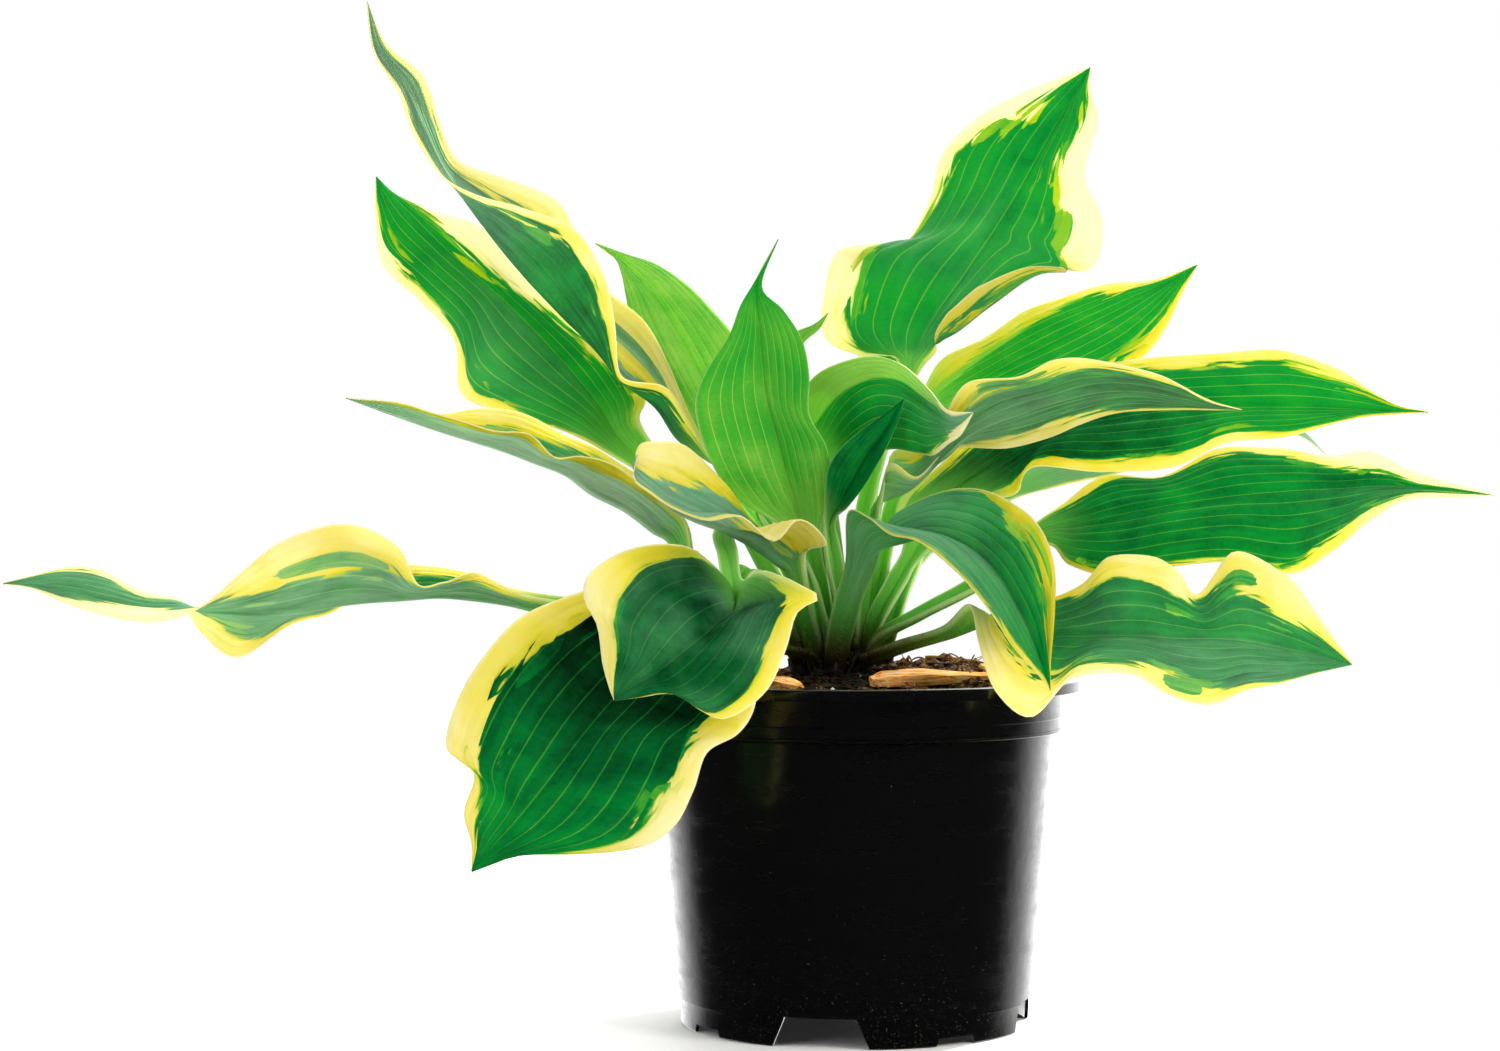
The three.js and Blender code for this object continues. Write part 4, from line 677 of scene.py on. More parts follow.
         tip=(269, 220, -56), tone=[.33, .35, .38, .4, .41, .4, .38, .38, .38, .38], creamAndShade=.3,
         creamAndShadeLeft=[-.1, 0, .1, .2, .2, .3, .5, .8, .9, .9],
         creamAndShadeRight=[-.5, -.4, -.1, .2, .3, .2, .3, .6, .8, .8], veins=.7,
         bloomAndSheenRight=[0, 0, 0, 0, 0, 0, .04, .1, .1, .1], paleLeft=[.3, .3, .12, .1, .2, .25, .4, .72, .85, .8],
         paleRight=[.15, .12, .06, .05, .05, .1, .2, .35, .5, .5]),
    dict(name="leaf_right_low", foot=(-2, -18), half=5,
         stalk=[(1, 148, -23), (20, 156, -37), (40, 162, -54)],
         rows=[
             (60, 171, 4, 57, 167, -64, 48, 174, -5), (70, 176, 7, 68, 163, -68, 52, 158, -8),
             (84, 177, 10, 82, 161, -72, 59, 138, -10), (96, 183, 12, 95, 161, -76, 74, 127, -11),
             (106, 195, 14, 108, 161, -79, 91, 143, -12), (124, 195, 14, 122, 161, -82, 116, 145, -12),
             (135, 188, 12, 136, 160, -85, 132, 136, -12), (144, 179, 10, 150, 160, -88, 149, 132, -11),
             (159, 197, 9, 164, 159, -90, 164, 138, -9), (180, 187, 6, 180, 156, -92, 178, 141, -6),
             (193, 172, 3, 194, 153, -94, 192, 145, -3),
         ],
         tip=(209, 149, -96), tone=[.4, .39, .38, .38, .39, .4, .39, .38, .37, .37, .37], creamAndShade=.3,
         creamAndShadeLeft=[0, 0, .1, .2, .2, .35, .6, .4, .3, .3, .3],
         creamAndShadeRight=[.1, .1, .25, .3, .5, .6, .4, .3, .5, .6, .6], veins=.65,
         bloomAndSheenLeft=[.04, .06, .1, .12, .12, .1, .1, .12, .12, .12, .1],
         bloomAndSheenRight=[0, 0, .05, .1, .2, .25, .28, .3, .3, .3, .25],
         paleLeft=[.2, .15, .15, .25, .33, .37, .48, .17, .38, .6, .55],
         paleRight=[.75, .6, .5, .45, .3, .22, .35, .2, .1, .05, .05],
         islands=[(-1, 7.5, 8.4, .6, .78), (1, 5.8, 6.8, .7, .9)]),
    dict(name="leaf_front_arching", foot=(-8, -14), half=5,
         stalk=[(-7, 155, -16)],
         rows=[
             (3, 175, 2, -3, 172, -22, -9, 175, 2), (9, 190, 1, 2, 186, -28, -4, 192, 1),
             (14, 208, 6, 10, 197, -34, -3, 213, -4), (22, 216, 8, 20, 201, -42, 6, 211, -6),
             (38, 222, 9, 33, 203, -52, 15, 204, -8), (55, 222, 10, 48, 198, -64, 28, 200, -8),
             (70, 215, 10, 60, 187, -76, 44, 187, -8), (79, 205, 9, 68, 174, -86, 56, 172, -7),
             (84, 190, 7, 74, 162, -93, 66, 157, -5), (84, 172, 5, 78, 151, -98, 75, 147, -3),
             (82, 152, 2, 81, 143, -101, 80, 141, -1),
         ],
         tip=(82, 138, -102), tone=[.6, .6, .58, .5, .44, .45, .46, .46, .44, .44, .44], creamAndShade=0, creamAndShadeLeft=-.5,
         creamAndShadeRight=[-.3, -.3, -.3, -.2, -.1, 0, .1, .1, .1, 0, 0], veins=.5,
         bloomAndSheenLeft=[0, .15, .3, .38, .3, .15, .06, .04, .02, 0, 0],
         bloomAndSheenRight=[0, 0, .3, .5, .5, .4, .3, .2, .12, .05, 0],
         dull=[.4, .4, .3, .15, .05, .05, .05, .05, .05, .05, .05],
         paleLeft=[0, 0, .03, .03, .04, .06, .25, .3, .45, .5, .5],
         paleRight=[0, 0, .02, .03, .04, .05, .07, .08, .12, .3, .5], islands=[(-1, 6.3, 8.3, .78, .9)]),
    dict(name="leaf_back_lime", foot=(-15, 10), slot="lime_leaf",
         stalk=[(-15, 168, 16), (-26, 205, 24)],
         rows=[
             (-58, 232, -3, -48, 236, 32, -40, 244, 3), (-72, 250, -6, -56, 252, 38, -42, 262, 5),
             (-84, 270, -8, -66, 272, 45, -47, 280, 7), (-93, 288, -8, -76, 290, 52, -57, 295, 7),
             (-96, 303, -6, -86, 305, 59, -70, 308, 6), (-98, 313, -4, -94, 314, 65, -83, 317, 4),
             (-101, 320, -1, -100, 320, 69, -95, 321, 1),
         ],
         tip=(-109, 326, 72), tone=.92, creamAndShade=0, veins=.8, paleLeft=[0], paleRight=[0]),
    dict(name="leaf_young", foot=(-10, 5), slot="lime_leaf",
         stalk=[(-11, 175, 9), (-17, 225, 20)],
         rows=[
             (-28, 247, -2, -22, 246, 26, -17, 245, -2), (-36, 262, -3, -26, 262, 28, -20, 260, -3),
             (-36, 276, -3, -28, 275, 30, -22, 271, -3), (-28, 287, -2, -25, 284, 31, -22, 283, -1),
             (-17, 292, 0, -16, 291, 32, -15, 290, 0),
         ],
         tip=(-11, 297, 33), tone=.95, creamAndShade=0, veins=.5, paleLeft=[0], paleRight=[0]),
    dict(name="leaf_right_behind", foot=(11, -1),
         stalk=[(16, 165, -3), (22, 184, 17), (32, 202, 38)],
         rows=[
             (60, 222, 4, 62, 218, 54, 65, 218, -3), (76, 233, 6, 82, 229, 56, 86, 224, -5),
             (104, 244, 8, 110, 237, 58, 113, 230, -7), (134, 254, 8, 140, 246, 60, 142, 238, -7),
             (162, 256, 6, 168, 250, 62, 170, 246, -5), (184, 250, 2, 186, 247, 63, 187, 245, -2),
         ],
         tip=(198, 237, 64), tone=.9, creamAndShade=.8, veins=.2, bloomAndSheen=1.6, dull=1.6, paleLeft=[.1], paleRight=[.1]),
    dict(name="leaf_back_1", foot=(-6, 20),
         stalk=[(-6, 170, 28), (-18, 205, 40)],
         rows=[
             (-32, 222, -2, -28, 222, 58, -24, 223, 2), (-52, 232, 0, -40, 236, 76, -28, 238, 4),
             (-62, 244, 0, -46, 248, 98, -30, 250, 6), (-62, 254, 0, -48, 257, 122, -34, 258, 6),
             (-58, 258, 0, -48, 261, 146, -38, 262, 5), (-50, 258, 0, -47, 259, 168, -42, 260, 3),
         ],
         tip=(-45, 255, 186), tone=.42, creamAndShade=.3, veins=.5, paleLeft=[.1, .25, .3, .3, .25, .2],
         paleRight=[.1, .25, .25, .3, .3, .2]),
    dict(name="leaf_back_2", foot=(1, 16),
         stalk=[(3, 180, 24), (7, 227, 50)],
         rows=[
             (10, 258, 0, 16, 259, 84, 22, 259, 0), (-1, 284, 0, 15, 284, 100, 31, 283, 0),
             (-5, 300, 0, 17, 300, 122, 41, 302, 0), (-1, 308, 0, 21, 310, 146, 43, 312, 0),
             (11, 310, 0, 25, 314, 168, 41, 316, 0), (25, 312, 0, 31, 313, 188, 39, 314, 0),
         ],
         tip=(36, 308, 204), tone=.48, creamAndShade=.5, veins=.5, paleLeft=[.1, .3, .3, .25, .3, .2],
         paleRight=[.1, .2, .3, .3, .25, .2]),
    dict(name="leaf_back_3", foot=(-17, 19),
         stalk=[(-22, 175, 26), (-48, 217, 58), (-76, 228, 80)],
         rows=[
             (-102, 237, -4, -98, 240, 96, -94, 243, 0), (-113, 250, -6, -105, 257, 110, -98, 262, 0),
             (-126, 268, -8, -114, 277, 126, -102, 285, 0), (-140, 276, -8, -128, 285, 142, -116, 292, 0),
             (-148, 284, -6, -140, 290, 156, -132, 296, 0), (-154, 290, -2, -150, 292, 166, -146, 295, 0),
         ],
         tip=(-158, 292, 172), tone=.4, creamAndShade=.3, veins=.5, paleLeft=[.1, .2, .25, .3, .3, .2],
         paleRight=[.1, .3, .3, .25, .3, .2]),
    dict(name="leaf_back_4", foot=(8, 13),
         stalk=[(14, 169, 20), (21, 187, 46)],
         rows=[
             (66, 236, 2, 70, 235, 96, 72, 234, -2), (84, 248, 6, 92, 246, 108, 98, 242, -4),
             (104, 256, 8, 116, 252, 122, 122, 244, -6), (128, 262, 8, 140, 256, 136, 144, 248, -6),
             (152, 264, 6, 162, 259, 148, 166, 253, -4), (176, 262, 2, 180, 260, 158, 183, 257, -2),
         ],
         tip=(194, 258, 164), tone=.4, creamAndShade=.3, veins=.5, paleLeft=[.1, .25, .2, .3, .3, .2],
         paleRight=[.1, .25, .3, .3, .25, .2]),
]


# How the leaves are lofted from their rows: lengths in mm, the stalk's shares of its own thickness
leafSheet = dict(
    across=28, step=2.2, samples=1500, endShy=0.02, thickness=0.5, bulge=0.1, bladeFrom=-1, bladeFull=1.5,
    pleat=0.006, pleatMost=0.22, pucker=0.3, puckerSize=9, puckerFull=0.3, ripple=0.8, rippleAcross=30,
    rippleAlong=6, rippleApart=9, rippleFrom=0.5, fullWidth=14, tipFade=0.8,
    ridgeBase=1.3, ridgeTip=0.25, ridgeWidth=1.5, ridgeFall=0.7, foldGrow=4, foldTurn=0.3,
    lineFrom=4, lineFull=10, placeAcross=25, placeApart=37.0, dull=0.12, islandSoft=1.5, seedStep=7,
)
stalkForm = dict(
    footHalf=2.7, half=4.2, channel=0.3, footThickness=2.2, thickness=3, rim=141.5, sunk=5, above=3,
    turning=1.5, upperEdge=0.28, groove=0.16, lowerEdge=0.16, belly=0.62,
)


def seen(x, z, depth):
    # a point as it is seen in the plane of the pot's axis, moved along its ray by its depth behind that plane
    return eye + (np.array([x, 0.0, z]) - eye) * (1 - depth / eye[1])


def unit(vectors):
    return vectors / np.maximum(np.linalg.norm(vectors, axis=-1, keepdims=True), 1e-9)


def along(points, places):
    # one smooth curve through the points
    padded = np.concatenate([[2 * points[0] - points[1]], points, [2 * points[-1] - points[-2]]])
    i = np.clip(np.floor(places).astype(int), 0, len(points) - 2)
    f = (places - i)[:, None]
    a, b, c, d = (padded[i + k] for k in range(4))
    bend, twist = 2 * a - 5 * b + 4 * c - d, 3 * b - a - 3 * c + d
    return 0.5 * (2 * b + (c - a) * f + bend * f ** 2 + twist * f ** 3)


def railsOf(leaf):
    # left edge, rib and right edge, from the foot in the crown to the tip
    base = [[seen(lx, lz, depth + ld), seen(x, z, depth), seen(rx, rz, depth + rd)]
            for lx, lz, ld, x, z, depth, rx, rz, rd in leaf["rows"]]
    footX, footY = leaf["foot"]
    stem = [np.array([footX, footY, stalkForm["rim"] + rise])
            for rise in (-stalkForm["sunk"], stalkForm["above"])]
    stem += [seen(*place) for place in leaf["stalk"]]
    middle = stem + [row[1] for row in base]
    away = (base[0][1] - stem[0]) * (1, 1, 0)
    low = unit(np.cross(away, (0, 0, 1)))
    high = unit(base[0][2] - base[0][0])
    rows = []
    for i, place in enumerate(stem):
        tangent = unit(middle[i + 1] - middle[max(i - 1, 0)])
        share = (i / len(stem)) ** stalkForm["turning"]
        side = low * (1 - share) + high * share
        side = unit(side - tangent * side.dot(tangent))
        half = stalkForm["footHalf"] if i < 2 else leaf.get("half", stalkForm["half"])
        lift = np.cross(side, tangent) * (0 if i < 2 else half * stalkForm["channel"])
        rows.append([place - side * half + lift, place, place + side * half + lift])
    tip = seen(*leaf["tip"])
    return np.array(rows + base + [[tip, tip, tip]]), len(stem)


def stationsOf(rows):
    # places along the rows that lie evenly along the rib, and their distances from the foot
    fine = np.linspace(0, len(rows) - 1 - leafSheet["endShy"], leafSheet["samples"])
    walk = along(rows[:, 1], fine)
    length = np.concatenate([[0], np.cumsum(np.linalg.norm(np.diff(walk, axis=0), axis=1))])
    t = np.interp(np.linspace(0, length[-1], int(length[-1] / leafSheet["step"])), length, fine)
    return t, np.interp(t, fine, length)


def turnOver(fold, size, reach, up, row):
    # past a share of its columns the edge turns up over the upper face, in a band of its own width
    bands = np.interp(row, np.arange(len(fold["bands"])), fold["bands"])
    folded = smoothStep(bands, 0, leafSheet["foldGrow"])[:, None, None]
    over = np.clip((size - fold["share"]) / (1 - fold["share"]), 0, 1)
    order = np.argsort(over, kind="stable")
    heading = math.radians(fold["degrees"]) * smoothStep(over[order], 0, leafSheet["foldTurn"])
    pace = np.diff(over[order], prepend=0)
    out, rise = np.zeros(len(size)), np.zeros(len(size))
    out[order], rise[order] = np.cumsum(np.cos(heading) * pace), np.cumsum(np.sin(heading) * pace)
    turned = unit(reach)[:, None] * out[None, :, None] + up[:, None] * rise[None, :, None]
    return turned * bands[:, None, None] * folded, folded


def halfOf(leaf, sign, size, rib, edge, tangent, row):
    # one half from the rib to its edge, crowned between them
    reach = edge - rib
    up = unit(np.cross(reach * sign, tangent))
    wide = np.linalg.norm(reach, axis=1)
    v, turned = size[None, :, None], 0
    fold = leaf.get("foldLeft" if sign < 0 else "foldRight")
    if fold:
        turned, folded = turnOver(fold, size, reach, up, row)
        v = v + (np.minimum(v / fold["share"], 1) - v) * folded
    crown = (wide * leaf.get("bulge", leafSheet["bulge"]) * 4)[:, None, None] * v * (1 - v)
    return rib[:, None] + reach[:, None] * v + up[:, None] * crown + turned, wide[:, None]


def faceNormals(grid):
    return unit(np.cross(np.gradient(grid, axis=1), np.gradient(grid, axis=0)))


def sheetFaces(n, m):
    # quads of the upper face, the under face and the rim round them, with each one's material slot
    faces, faceSlots = [], []
    for i in range(n - 1):
        for j in range(m - 1):
            a = i * m + j
            b = a + n * m
            faces += [(a, a + 1, a + m + 1, a + m), (b, b + m, b + m + 1, b + 1)]
            faceSlots += [0, 1]
        for a, b in ((i * m + n * m, i * m), (i * m + m - 1, i * m + m - 1 + n * m)):
            faces.append((a, b, b + m, a + m))
            faceSlots.append(0)
    for j in range(m - 1):
        for a, b in ((j + n * m, j), ((n - 1) * m + j, (n - 1) * m + j + n * m)):
            faces.append((a, a + 1, b + 1, b))
            faceSlots.append(0)
    return faces, faceSlots


def layLooks(piece, leaf, index, row, arc, s, half, blade, height):
    # lays the values that the leaf's material reads on every point
    sheet, flat = leafSheet, np.ones(half.shape)

    def perRow(values):
        # a value read at each row of the blade, carried smoothly to its stations
        values = np.atleast_1d(np.asarray(values, float))
        return np.interp(row, np.arange(len(values)), values)[:, None]

    def perSide(key, default=0):
        # the same, where the halves may differ
        both = leaf.get(key, default)
        left, right = leaf.get(key + "Left", both), leaf.get(key + "Right", both)
        return np.where((s < 0)[None, :], perRow(left), perRow(right))

    lines = leaf["veins"] * smoothStep(half, sheet["lineFrom"], sheet["lineFull"])
    island = np.zeros(half.shape)
    for side, rowFrom, rowTo, low, high in leaf.get("islands", []):
        lengthwise = np.abs(row[:, None] - (rowFrom + rowTo) / 2) / ((rowTo - rowFrom) / 2)
        crosswise = np.abs(s * side - (low + high) / 2) / ((high - low) / 2)
        inside = sheet["islandSoft"] - np.hypot(lengthwise ** 2, crosswise ** 2)
        island = np.maximum(island, np.clip(inside, 0, 1))
    looks = dict(
        leafPlace=(s * sheet["placeAcross"] * flat, arc[:, None] * flat, sheet["placeApart"] * index * flat),
        leafForm=(s * flat, perSide("pale"), blade * flat),
        leafTint=(perRow(leaf["tone"]) * flat, perSide("creamAndShade"), perSide("lime")),
        leafMore=(height, perSide("bloomAndSheen"), island),
        leafLook=(lines, perSide("dull", sheet["dull"]), leaf.get("calm", 0) * flat),
    )
    for name, parts in looks.items():
        data = np.stack(parts, axis=-1).reshape(-1, 3)
        layer = piece.data.attributes.new(name, "FLOAT_VECTOR", "POINT")
        layer.data.foreach_set("vector", np.concatenate([data, data]).astype(np.float32).ravel())  # both faces


def buildLeaf(leaf, index):
    sheet = leafSheet
    rows, stemRows = railsOf(leaf)
    last = len(rows) - 1
    t, arc = stationsOf(rows)
    left, rib, right = (along(rows[:, k], t) for k in range(3))
    near = sheet["endShy"]
    tangent = unit(along(rows[:, 1], np.minimum(t + near, last)) - along(rows[:, 1], np.maximum(t - near, 0)))
    s = np.linspace(-1, 1, 2 * sheet["across"] + 1)
    size = np.abs(s)
    blade = smoothStep(t, stemRows + sheet["bladeFrom"], stemRows + sheet["bladeFull"])[:, None]

    points = np.zeros((len(t), len(s), 3))
    half = np.zeros((len(t), len(s)))
    for sign, edge in ((-1, left), (1, right)):
        cols = np.nonzero(s * sign >= 0)[0]
        points[:, cols], half[:, cols] = halfOf(leaf, sign, size[cols], rib, edge, tangent, t - stemRows)

    # relief of the blade: pleats between the veins, slow puckers, and a ripple that grows to the edge
    tipFade = smoothStep(last - t, 0, sheet["tipFade"])[:, None]
    pleat = -np.cos(2 * math.pi * leafTones["veinCount"] * size)
    pleat = pleat * np.minimum(sheet["pleat"] * half, sheet["pleatMost"])
    mmAcross = s * half
    slim = np.clip(half / sheet["fullWidth"], 0, 1)
    pucker = waves(index * sheet["seedStep"] + 1, mmAcross / sheet["puckerSize"],
                   arc[:, None] / sheet["puckerSize"])
    pucker = pucker * sheet["pucker"] * slim * smoothStep(size, 0, sheet["puckerFull"])
    apart = sheet["rippleApart"] * np.sign(s)
    ripple = waves(index * sheet["seedStep"] + 2, mmAcross / sheet["rippleAcross"] + apart,
                   arc[:, None] / sheet["rippleAlong"])
    ripple = ripple * sheet["ripple"] * slim * smoothStep(size, sheet["rippleFrom"], 1)
    points = points + faceNormals(points) * ((pleat + pucker + ripple) * blade * tipFade)[..., None]

    # thickness: a grooved stalk with a round belly, then the thin blade with its rib below
    normal = faceNormals(points)
    foot, full = stalkForm["footThickness"], stalkForm["thickness"]
    stemThick = (foot + (full - foot) * smoothStep(t, 1, 2))[:, None]
    share = np.clip((t - stemRows) / (last - stemRows), 0, 1)[:, None]
    ridge = sheet["ridgeBase"] + (sheet["ridgeTip"] - sheet["ridgeBase"]) * share ** sheet["ridgeFall"]
    ridge = ridge * tipFade * leaf.get("ridge", 1) * np.exp(-(mmAcross / sheet["ridgeWidth"]) ** 2)
    belly = stalkForm["belly"] * np.sqrt(np.maximum(1 - size ** 2, 0))
    above = stemThick * (stalkForm["upperEdge"] - stalkForm["groove"] * (1 - size)) * (1 - blade)
    below = stemThick * (stalkForm["lowerEdge"] + belly) * (1 - blade)
    top = points + normal * (above + sheet["thickness"] / 2 * blade)[..., None]
    under = points - normal * (below + (sheet["thickness"] / 2 + ridge) * blade)[..., None]

    faces, faceSlots = sheetFaces(len(t), len(s))
    piece = newPiece("visible_" + leaf["name"], np.concatenate([top.reshape(-1, 3), under.reshape(-1, 3)]),
                     faces, [leafUpper, leafUnder], faceSlots=faceSlots)
    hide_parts(leaf["name"])
    layLooks(piece, leaf, index, t - stemRows, arc, s, half, blade, points[..., 2] - stalkForm["rim"])


for index, leaf in enumerate(leaves):
    buildLeaf(leaf, index)
print("leaves built:", len(leaves))

# Pot: black polypropylene, injection moulded in a polished mould, so it shines softly and shows its bright
# surroundings along both sides. Handling leaves dull scuffs round the middle and grains of dust. Sizes in mm.
potFinish = dict(
    color="#050506", dust="#6a5d50", roughness=0.2, dull=0.36, ior=1.49,
    scuffAcross=26, scuffHeight=6, scuffFrom=0.42, scuffTo=0.75,
    grain=0.7, dustTall=60, dustLow=0.66, dustHigh=0.74, dustEdge=0.05, dustShare=0.6,
    uneven=7, relief=0.35, reliefStrength=0.35,
)
potForm = dict(
    lipRadius=94.7, lipHeight=143.4, lipDepth=4.6, lipInner=87.2, lipRound=0.9, lipSteps=5, collarTop=87.0,
    collarBottom=85.8, collarFoot=122.7, collarStep=5.6, bead=0.8, beadSteps=8, bodyTop=82.4, bodyBottom=73.6,
    bodyRings=24, footHeight=11, footRadius=73, wall=1.4, floorHeight=12.4, sides=192, creaseDegrees=38,
)
notches = dict(
    deep=dict(centres=(-13, 77, 167, 257), bottom=41, top=29, height=12),
    shallow=dict(centres=(-58, 32, 122, 212), bottom=20, top=17, height=3.3),
)
notchCut = dict(outside=6, through=16, below=-2)

potPlastic, tree, output = newMaterial("mouldedBlackPolypropylene")
inMm = placeIn(tree, (1, 1, 1))
height = addNode(tree, "ShaderNodeSeparateXYZ", {0: inMm}).outputs["Z"]
rubbed = addNode(tree, "ShaderNodeVectorMath", {
    0: inMm, 1: (1 / potFinish["scuffAcross"], 1 / potFinish["scuffAcross"], 1 / potFinish["scuffHeight"])},
    operation="MULTIPLY").outputs[0]
scuff = addNode(tree, "ShaderNodeTexNoise", {
    "Vector": rubbed, "Scale": 1, "Detail": 5, "Roughness": 0.65}).outputs["Fac"]
rough = addNode(tree, "ShaderNodeMapRange", {
    "Value": scuff, "From Min": potFinish["scuffFrom"], "From Max": potFinish["scuffTo"],
    "To Min": potFinish["roughness"], "To Max": potFinish["dull"]}).outputs[0]
dots = addNode(tree, "ShaderNodeTexNoise", {
    "Vector": inMm, "Scale": 1 / potFinish["grain"], "Detail": 2}).outputs["Fac"]
clean = addNode(tree, "ShaderNodeMapRange", {
    "Value": height, "From Min": 0, "From Max": potFinish["dustTall"], "To Min": potFinish["dustLow"],
    "To Max": potFinish["dustHigh"]}).outputs[0]
dust = addNode(tree, "ShaderNodeMath", {0: dots, 1: clean}, operation="SUBTRACT").outputs[0]
dust = addNode(tree, "ShaderNodeMapRange", {
    "Value": dust, "From Max": potFinish["dustEdge"], "To Max": potFinish["dustShare"]}).outputs[0]
body = addNode(tree, "ShaderNodeMix", {
    0: dust, 6: hexColor(potFinish["color"]), 7: hexColor(potFinish["dust"])}, data_type="RGBA").outputs[2]
uneven = addNode(tree, "ShaderNodeTexNoise", {
    "Vector": inMm, "Scale": 1 / potFinish["uneven"], "Detail": 3}).outputs["Fac"]
coverWith(potFinish, tree, output, body, rough, uneven)


def potProfile():
    # radius and height, from the middle of the raised floor outwards, up, over the lip and down inside, where
    # the small steps of 0.1 to 1.8 are the mould's rounded edges and corners
    p = potForm
    bead, wall, foot, collar = p["bead"], p["wall"], p["footRadius"], p["collarFoot"]
    ringInside, bodyEnd = foot - wall, collar - 2 * bead
    underLip = p["lipHeight"] - p["lipDepth"]
    floorTop = p["floorHeight"] + wall
    line = [(0, p["floorHeight"]), (ringInside, p["floorHeight"]), (ringInside, 0.3), (ringInside + 0.3, 0),
            (foot - 0.4, 0), (foot, 0.4), (foot, p["footHeight"] - 0.5), (foot + 0.15, p["footHeight"] - 0.15)]
    for i in range(p["bodyRings"] + 1):
        share = i / p["bodyRings"]
        line.append((p["bodyBottom"] + (p["bodyTop"] - p["bodyBottom"]) * share,
                     p["footHeight"] + (bodyEnd - p["footHeight"]) * share))
    line.append((p["collarBottom"] - 0.6, collar - 1.1 * bead))
    for i in range(p["beadSteps"] + 1):
        turn = math.radians(-90 + 180 * i / p["beadSteps"])
        line.append((p["collarBottom"] + bead * math.cos(turn), collar + bead * math.sin(turn)))
    line += [(p["collarBottom"], collar + 1.5), (p["collarBottom"] + 0.3, collar + p["collarStep"] - 0.5),
             (p["collarBottom"] + 0.8, collar + p["collarStep"]), (p["collarTop"] - 0.3, underLip - 0.5),
             (p["collarTop"] + 0.3, underLip), (p["lipRadius"] - 0.5, underLip),
             (p["lipRadius"] - 0.1, underLip + 0.2), (p["lipRadius"], underLip + 0.6)]
    for i in range(p["lipSteps"] + 1):
        turn = math.radians(90 * i / p["lipSteps"])
        line.append((p["lipRadius"] + p["lipRound"] * (math.cos(turn) - 1),
                     p["lipHeight"] + p["lipRound"] * (math.sin(turn) - 1)))
    line += [(p["lipInner"] + 0.8, p["lipHeight"]), (p["lipInner"], p["lipHeight"] - 0.3),
             (p["collarTop"] - wall, p["lipHeight"] - 1.4), (p["collarBottom"] - wall, collar + 0.4),
             (p["bodyTop"] - wall, collar - 1.8), (p["bodyBottom"] - wall, floorTop), (0, floorTop)]
    return line


def lathed(line, sides):
    # a closed lathe: points of the axis are single
    places, rings = [], []
    for radius, z in line:
        if radius < 1e-6:
            rings.append([len(places)] * sides)
            places.append((0, 0, z))
            continue
        rings.append(list(range(len(places), len(places) + sides)))
        for k in range(sides):
            turn = 2 * math.pi * k / sides
            places.append((radius * math.cos(turn), radius * math.sin(turn), z))
    faces = []
    for low, high in zip(rings, rings[1:]):
        for k in range(sides):
            loop = [low[k], low[(k + 1) % sides], high[(k + 1) % sides], high[k]]
            faces.append(list(dict.fromkeys(loop)))
    return places, faces


def notchMesh(notch, degrees):
    # a trapezoid prism through the foot ring, turned from the front towards +X
    outer, inner = [-potForm["footRadius"] + past for past in (-notchCut["outside"], notchCut["through"])]
    wide, slim, low, high = notch["bottom"] / 2, notch["top"] / 2, notchCut["below"], notch["height"]
    shape = [(-wide, low), (wide, low), (slim, high), (-slim, high)]
    turn = math.radians(degrees)
    places = [(x * math.cos(turn) - y * math.sin(turn), x * math.sin(turn) + y * math.cos(turn), z)
              for y in (outer, inner) for x, z in shape]
    faces = [(0, 1, 2, 3), (7, 6, 5, 4), (0, 4, 5, 1), (1, 5, 6, 2), (2, 6, 7, 3), (3, 7, 4, 0)]
    mesh = bpy.data.meshes.new("notch")
    mesh.from_pydata((np.array(places) * mm + potAxis).tolist(), [], faces)
    cutter = bpy.data.objects.new("notch", mesh)
    bpy.context.scene.collection.objects.link(cutter)
    return cutter


def withModifiers(piece):
    # the piece's mesh with its modifiers carried out, which the piece then no longer has
    bpy.context.view_layer.update()
    mesh = bpy.data.meshes.new_from_object(piece.evaluated_get(bpy.context.evaluated_depsgraph_get()))
    piece.modifiers.clear()
    piece.data = mesh
    return mesh


places, faces = lathed(potProfile(), potForm["sides"])
potPiece = newPiece("visible_pot", places, faces, [potPlastic])
cutters = [notchMesh(notch, degrees) for notch in notches.values() for degrees in notch["centres"]]
for cutter in cutters:
    cut = potPiece.modifiers.new("cut", "BOOLEAN")
    cut.operation = "DIFFERENCE"
    cut.solver = "EXACT"
    cut.object = cutter
cutMesh = withModifiers(potPiece)
for cutter in cutters:
    bpy.data.objects.remove(cutter)
cutMesh.polygons.foreach_set("use_smooth", [True] * len(cutMesh.polygons))
cutMesh.set_sharp_from_angle(angle=math.radians(potForm["creaseDegrees"]))
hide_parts("pot")
print("pot built")

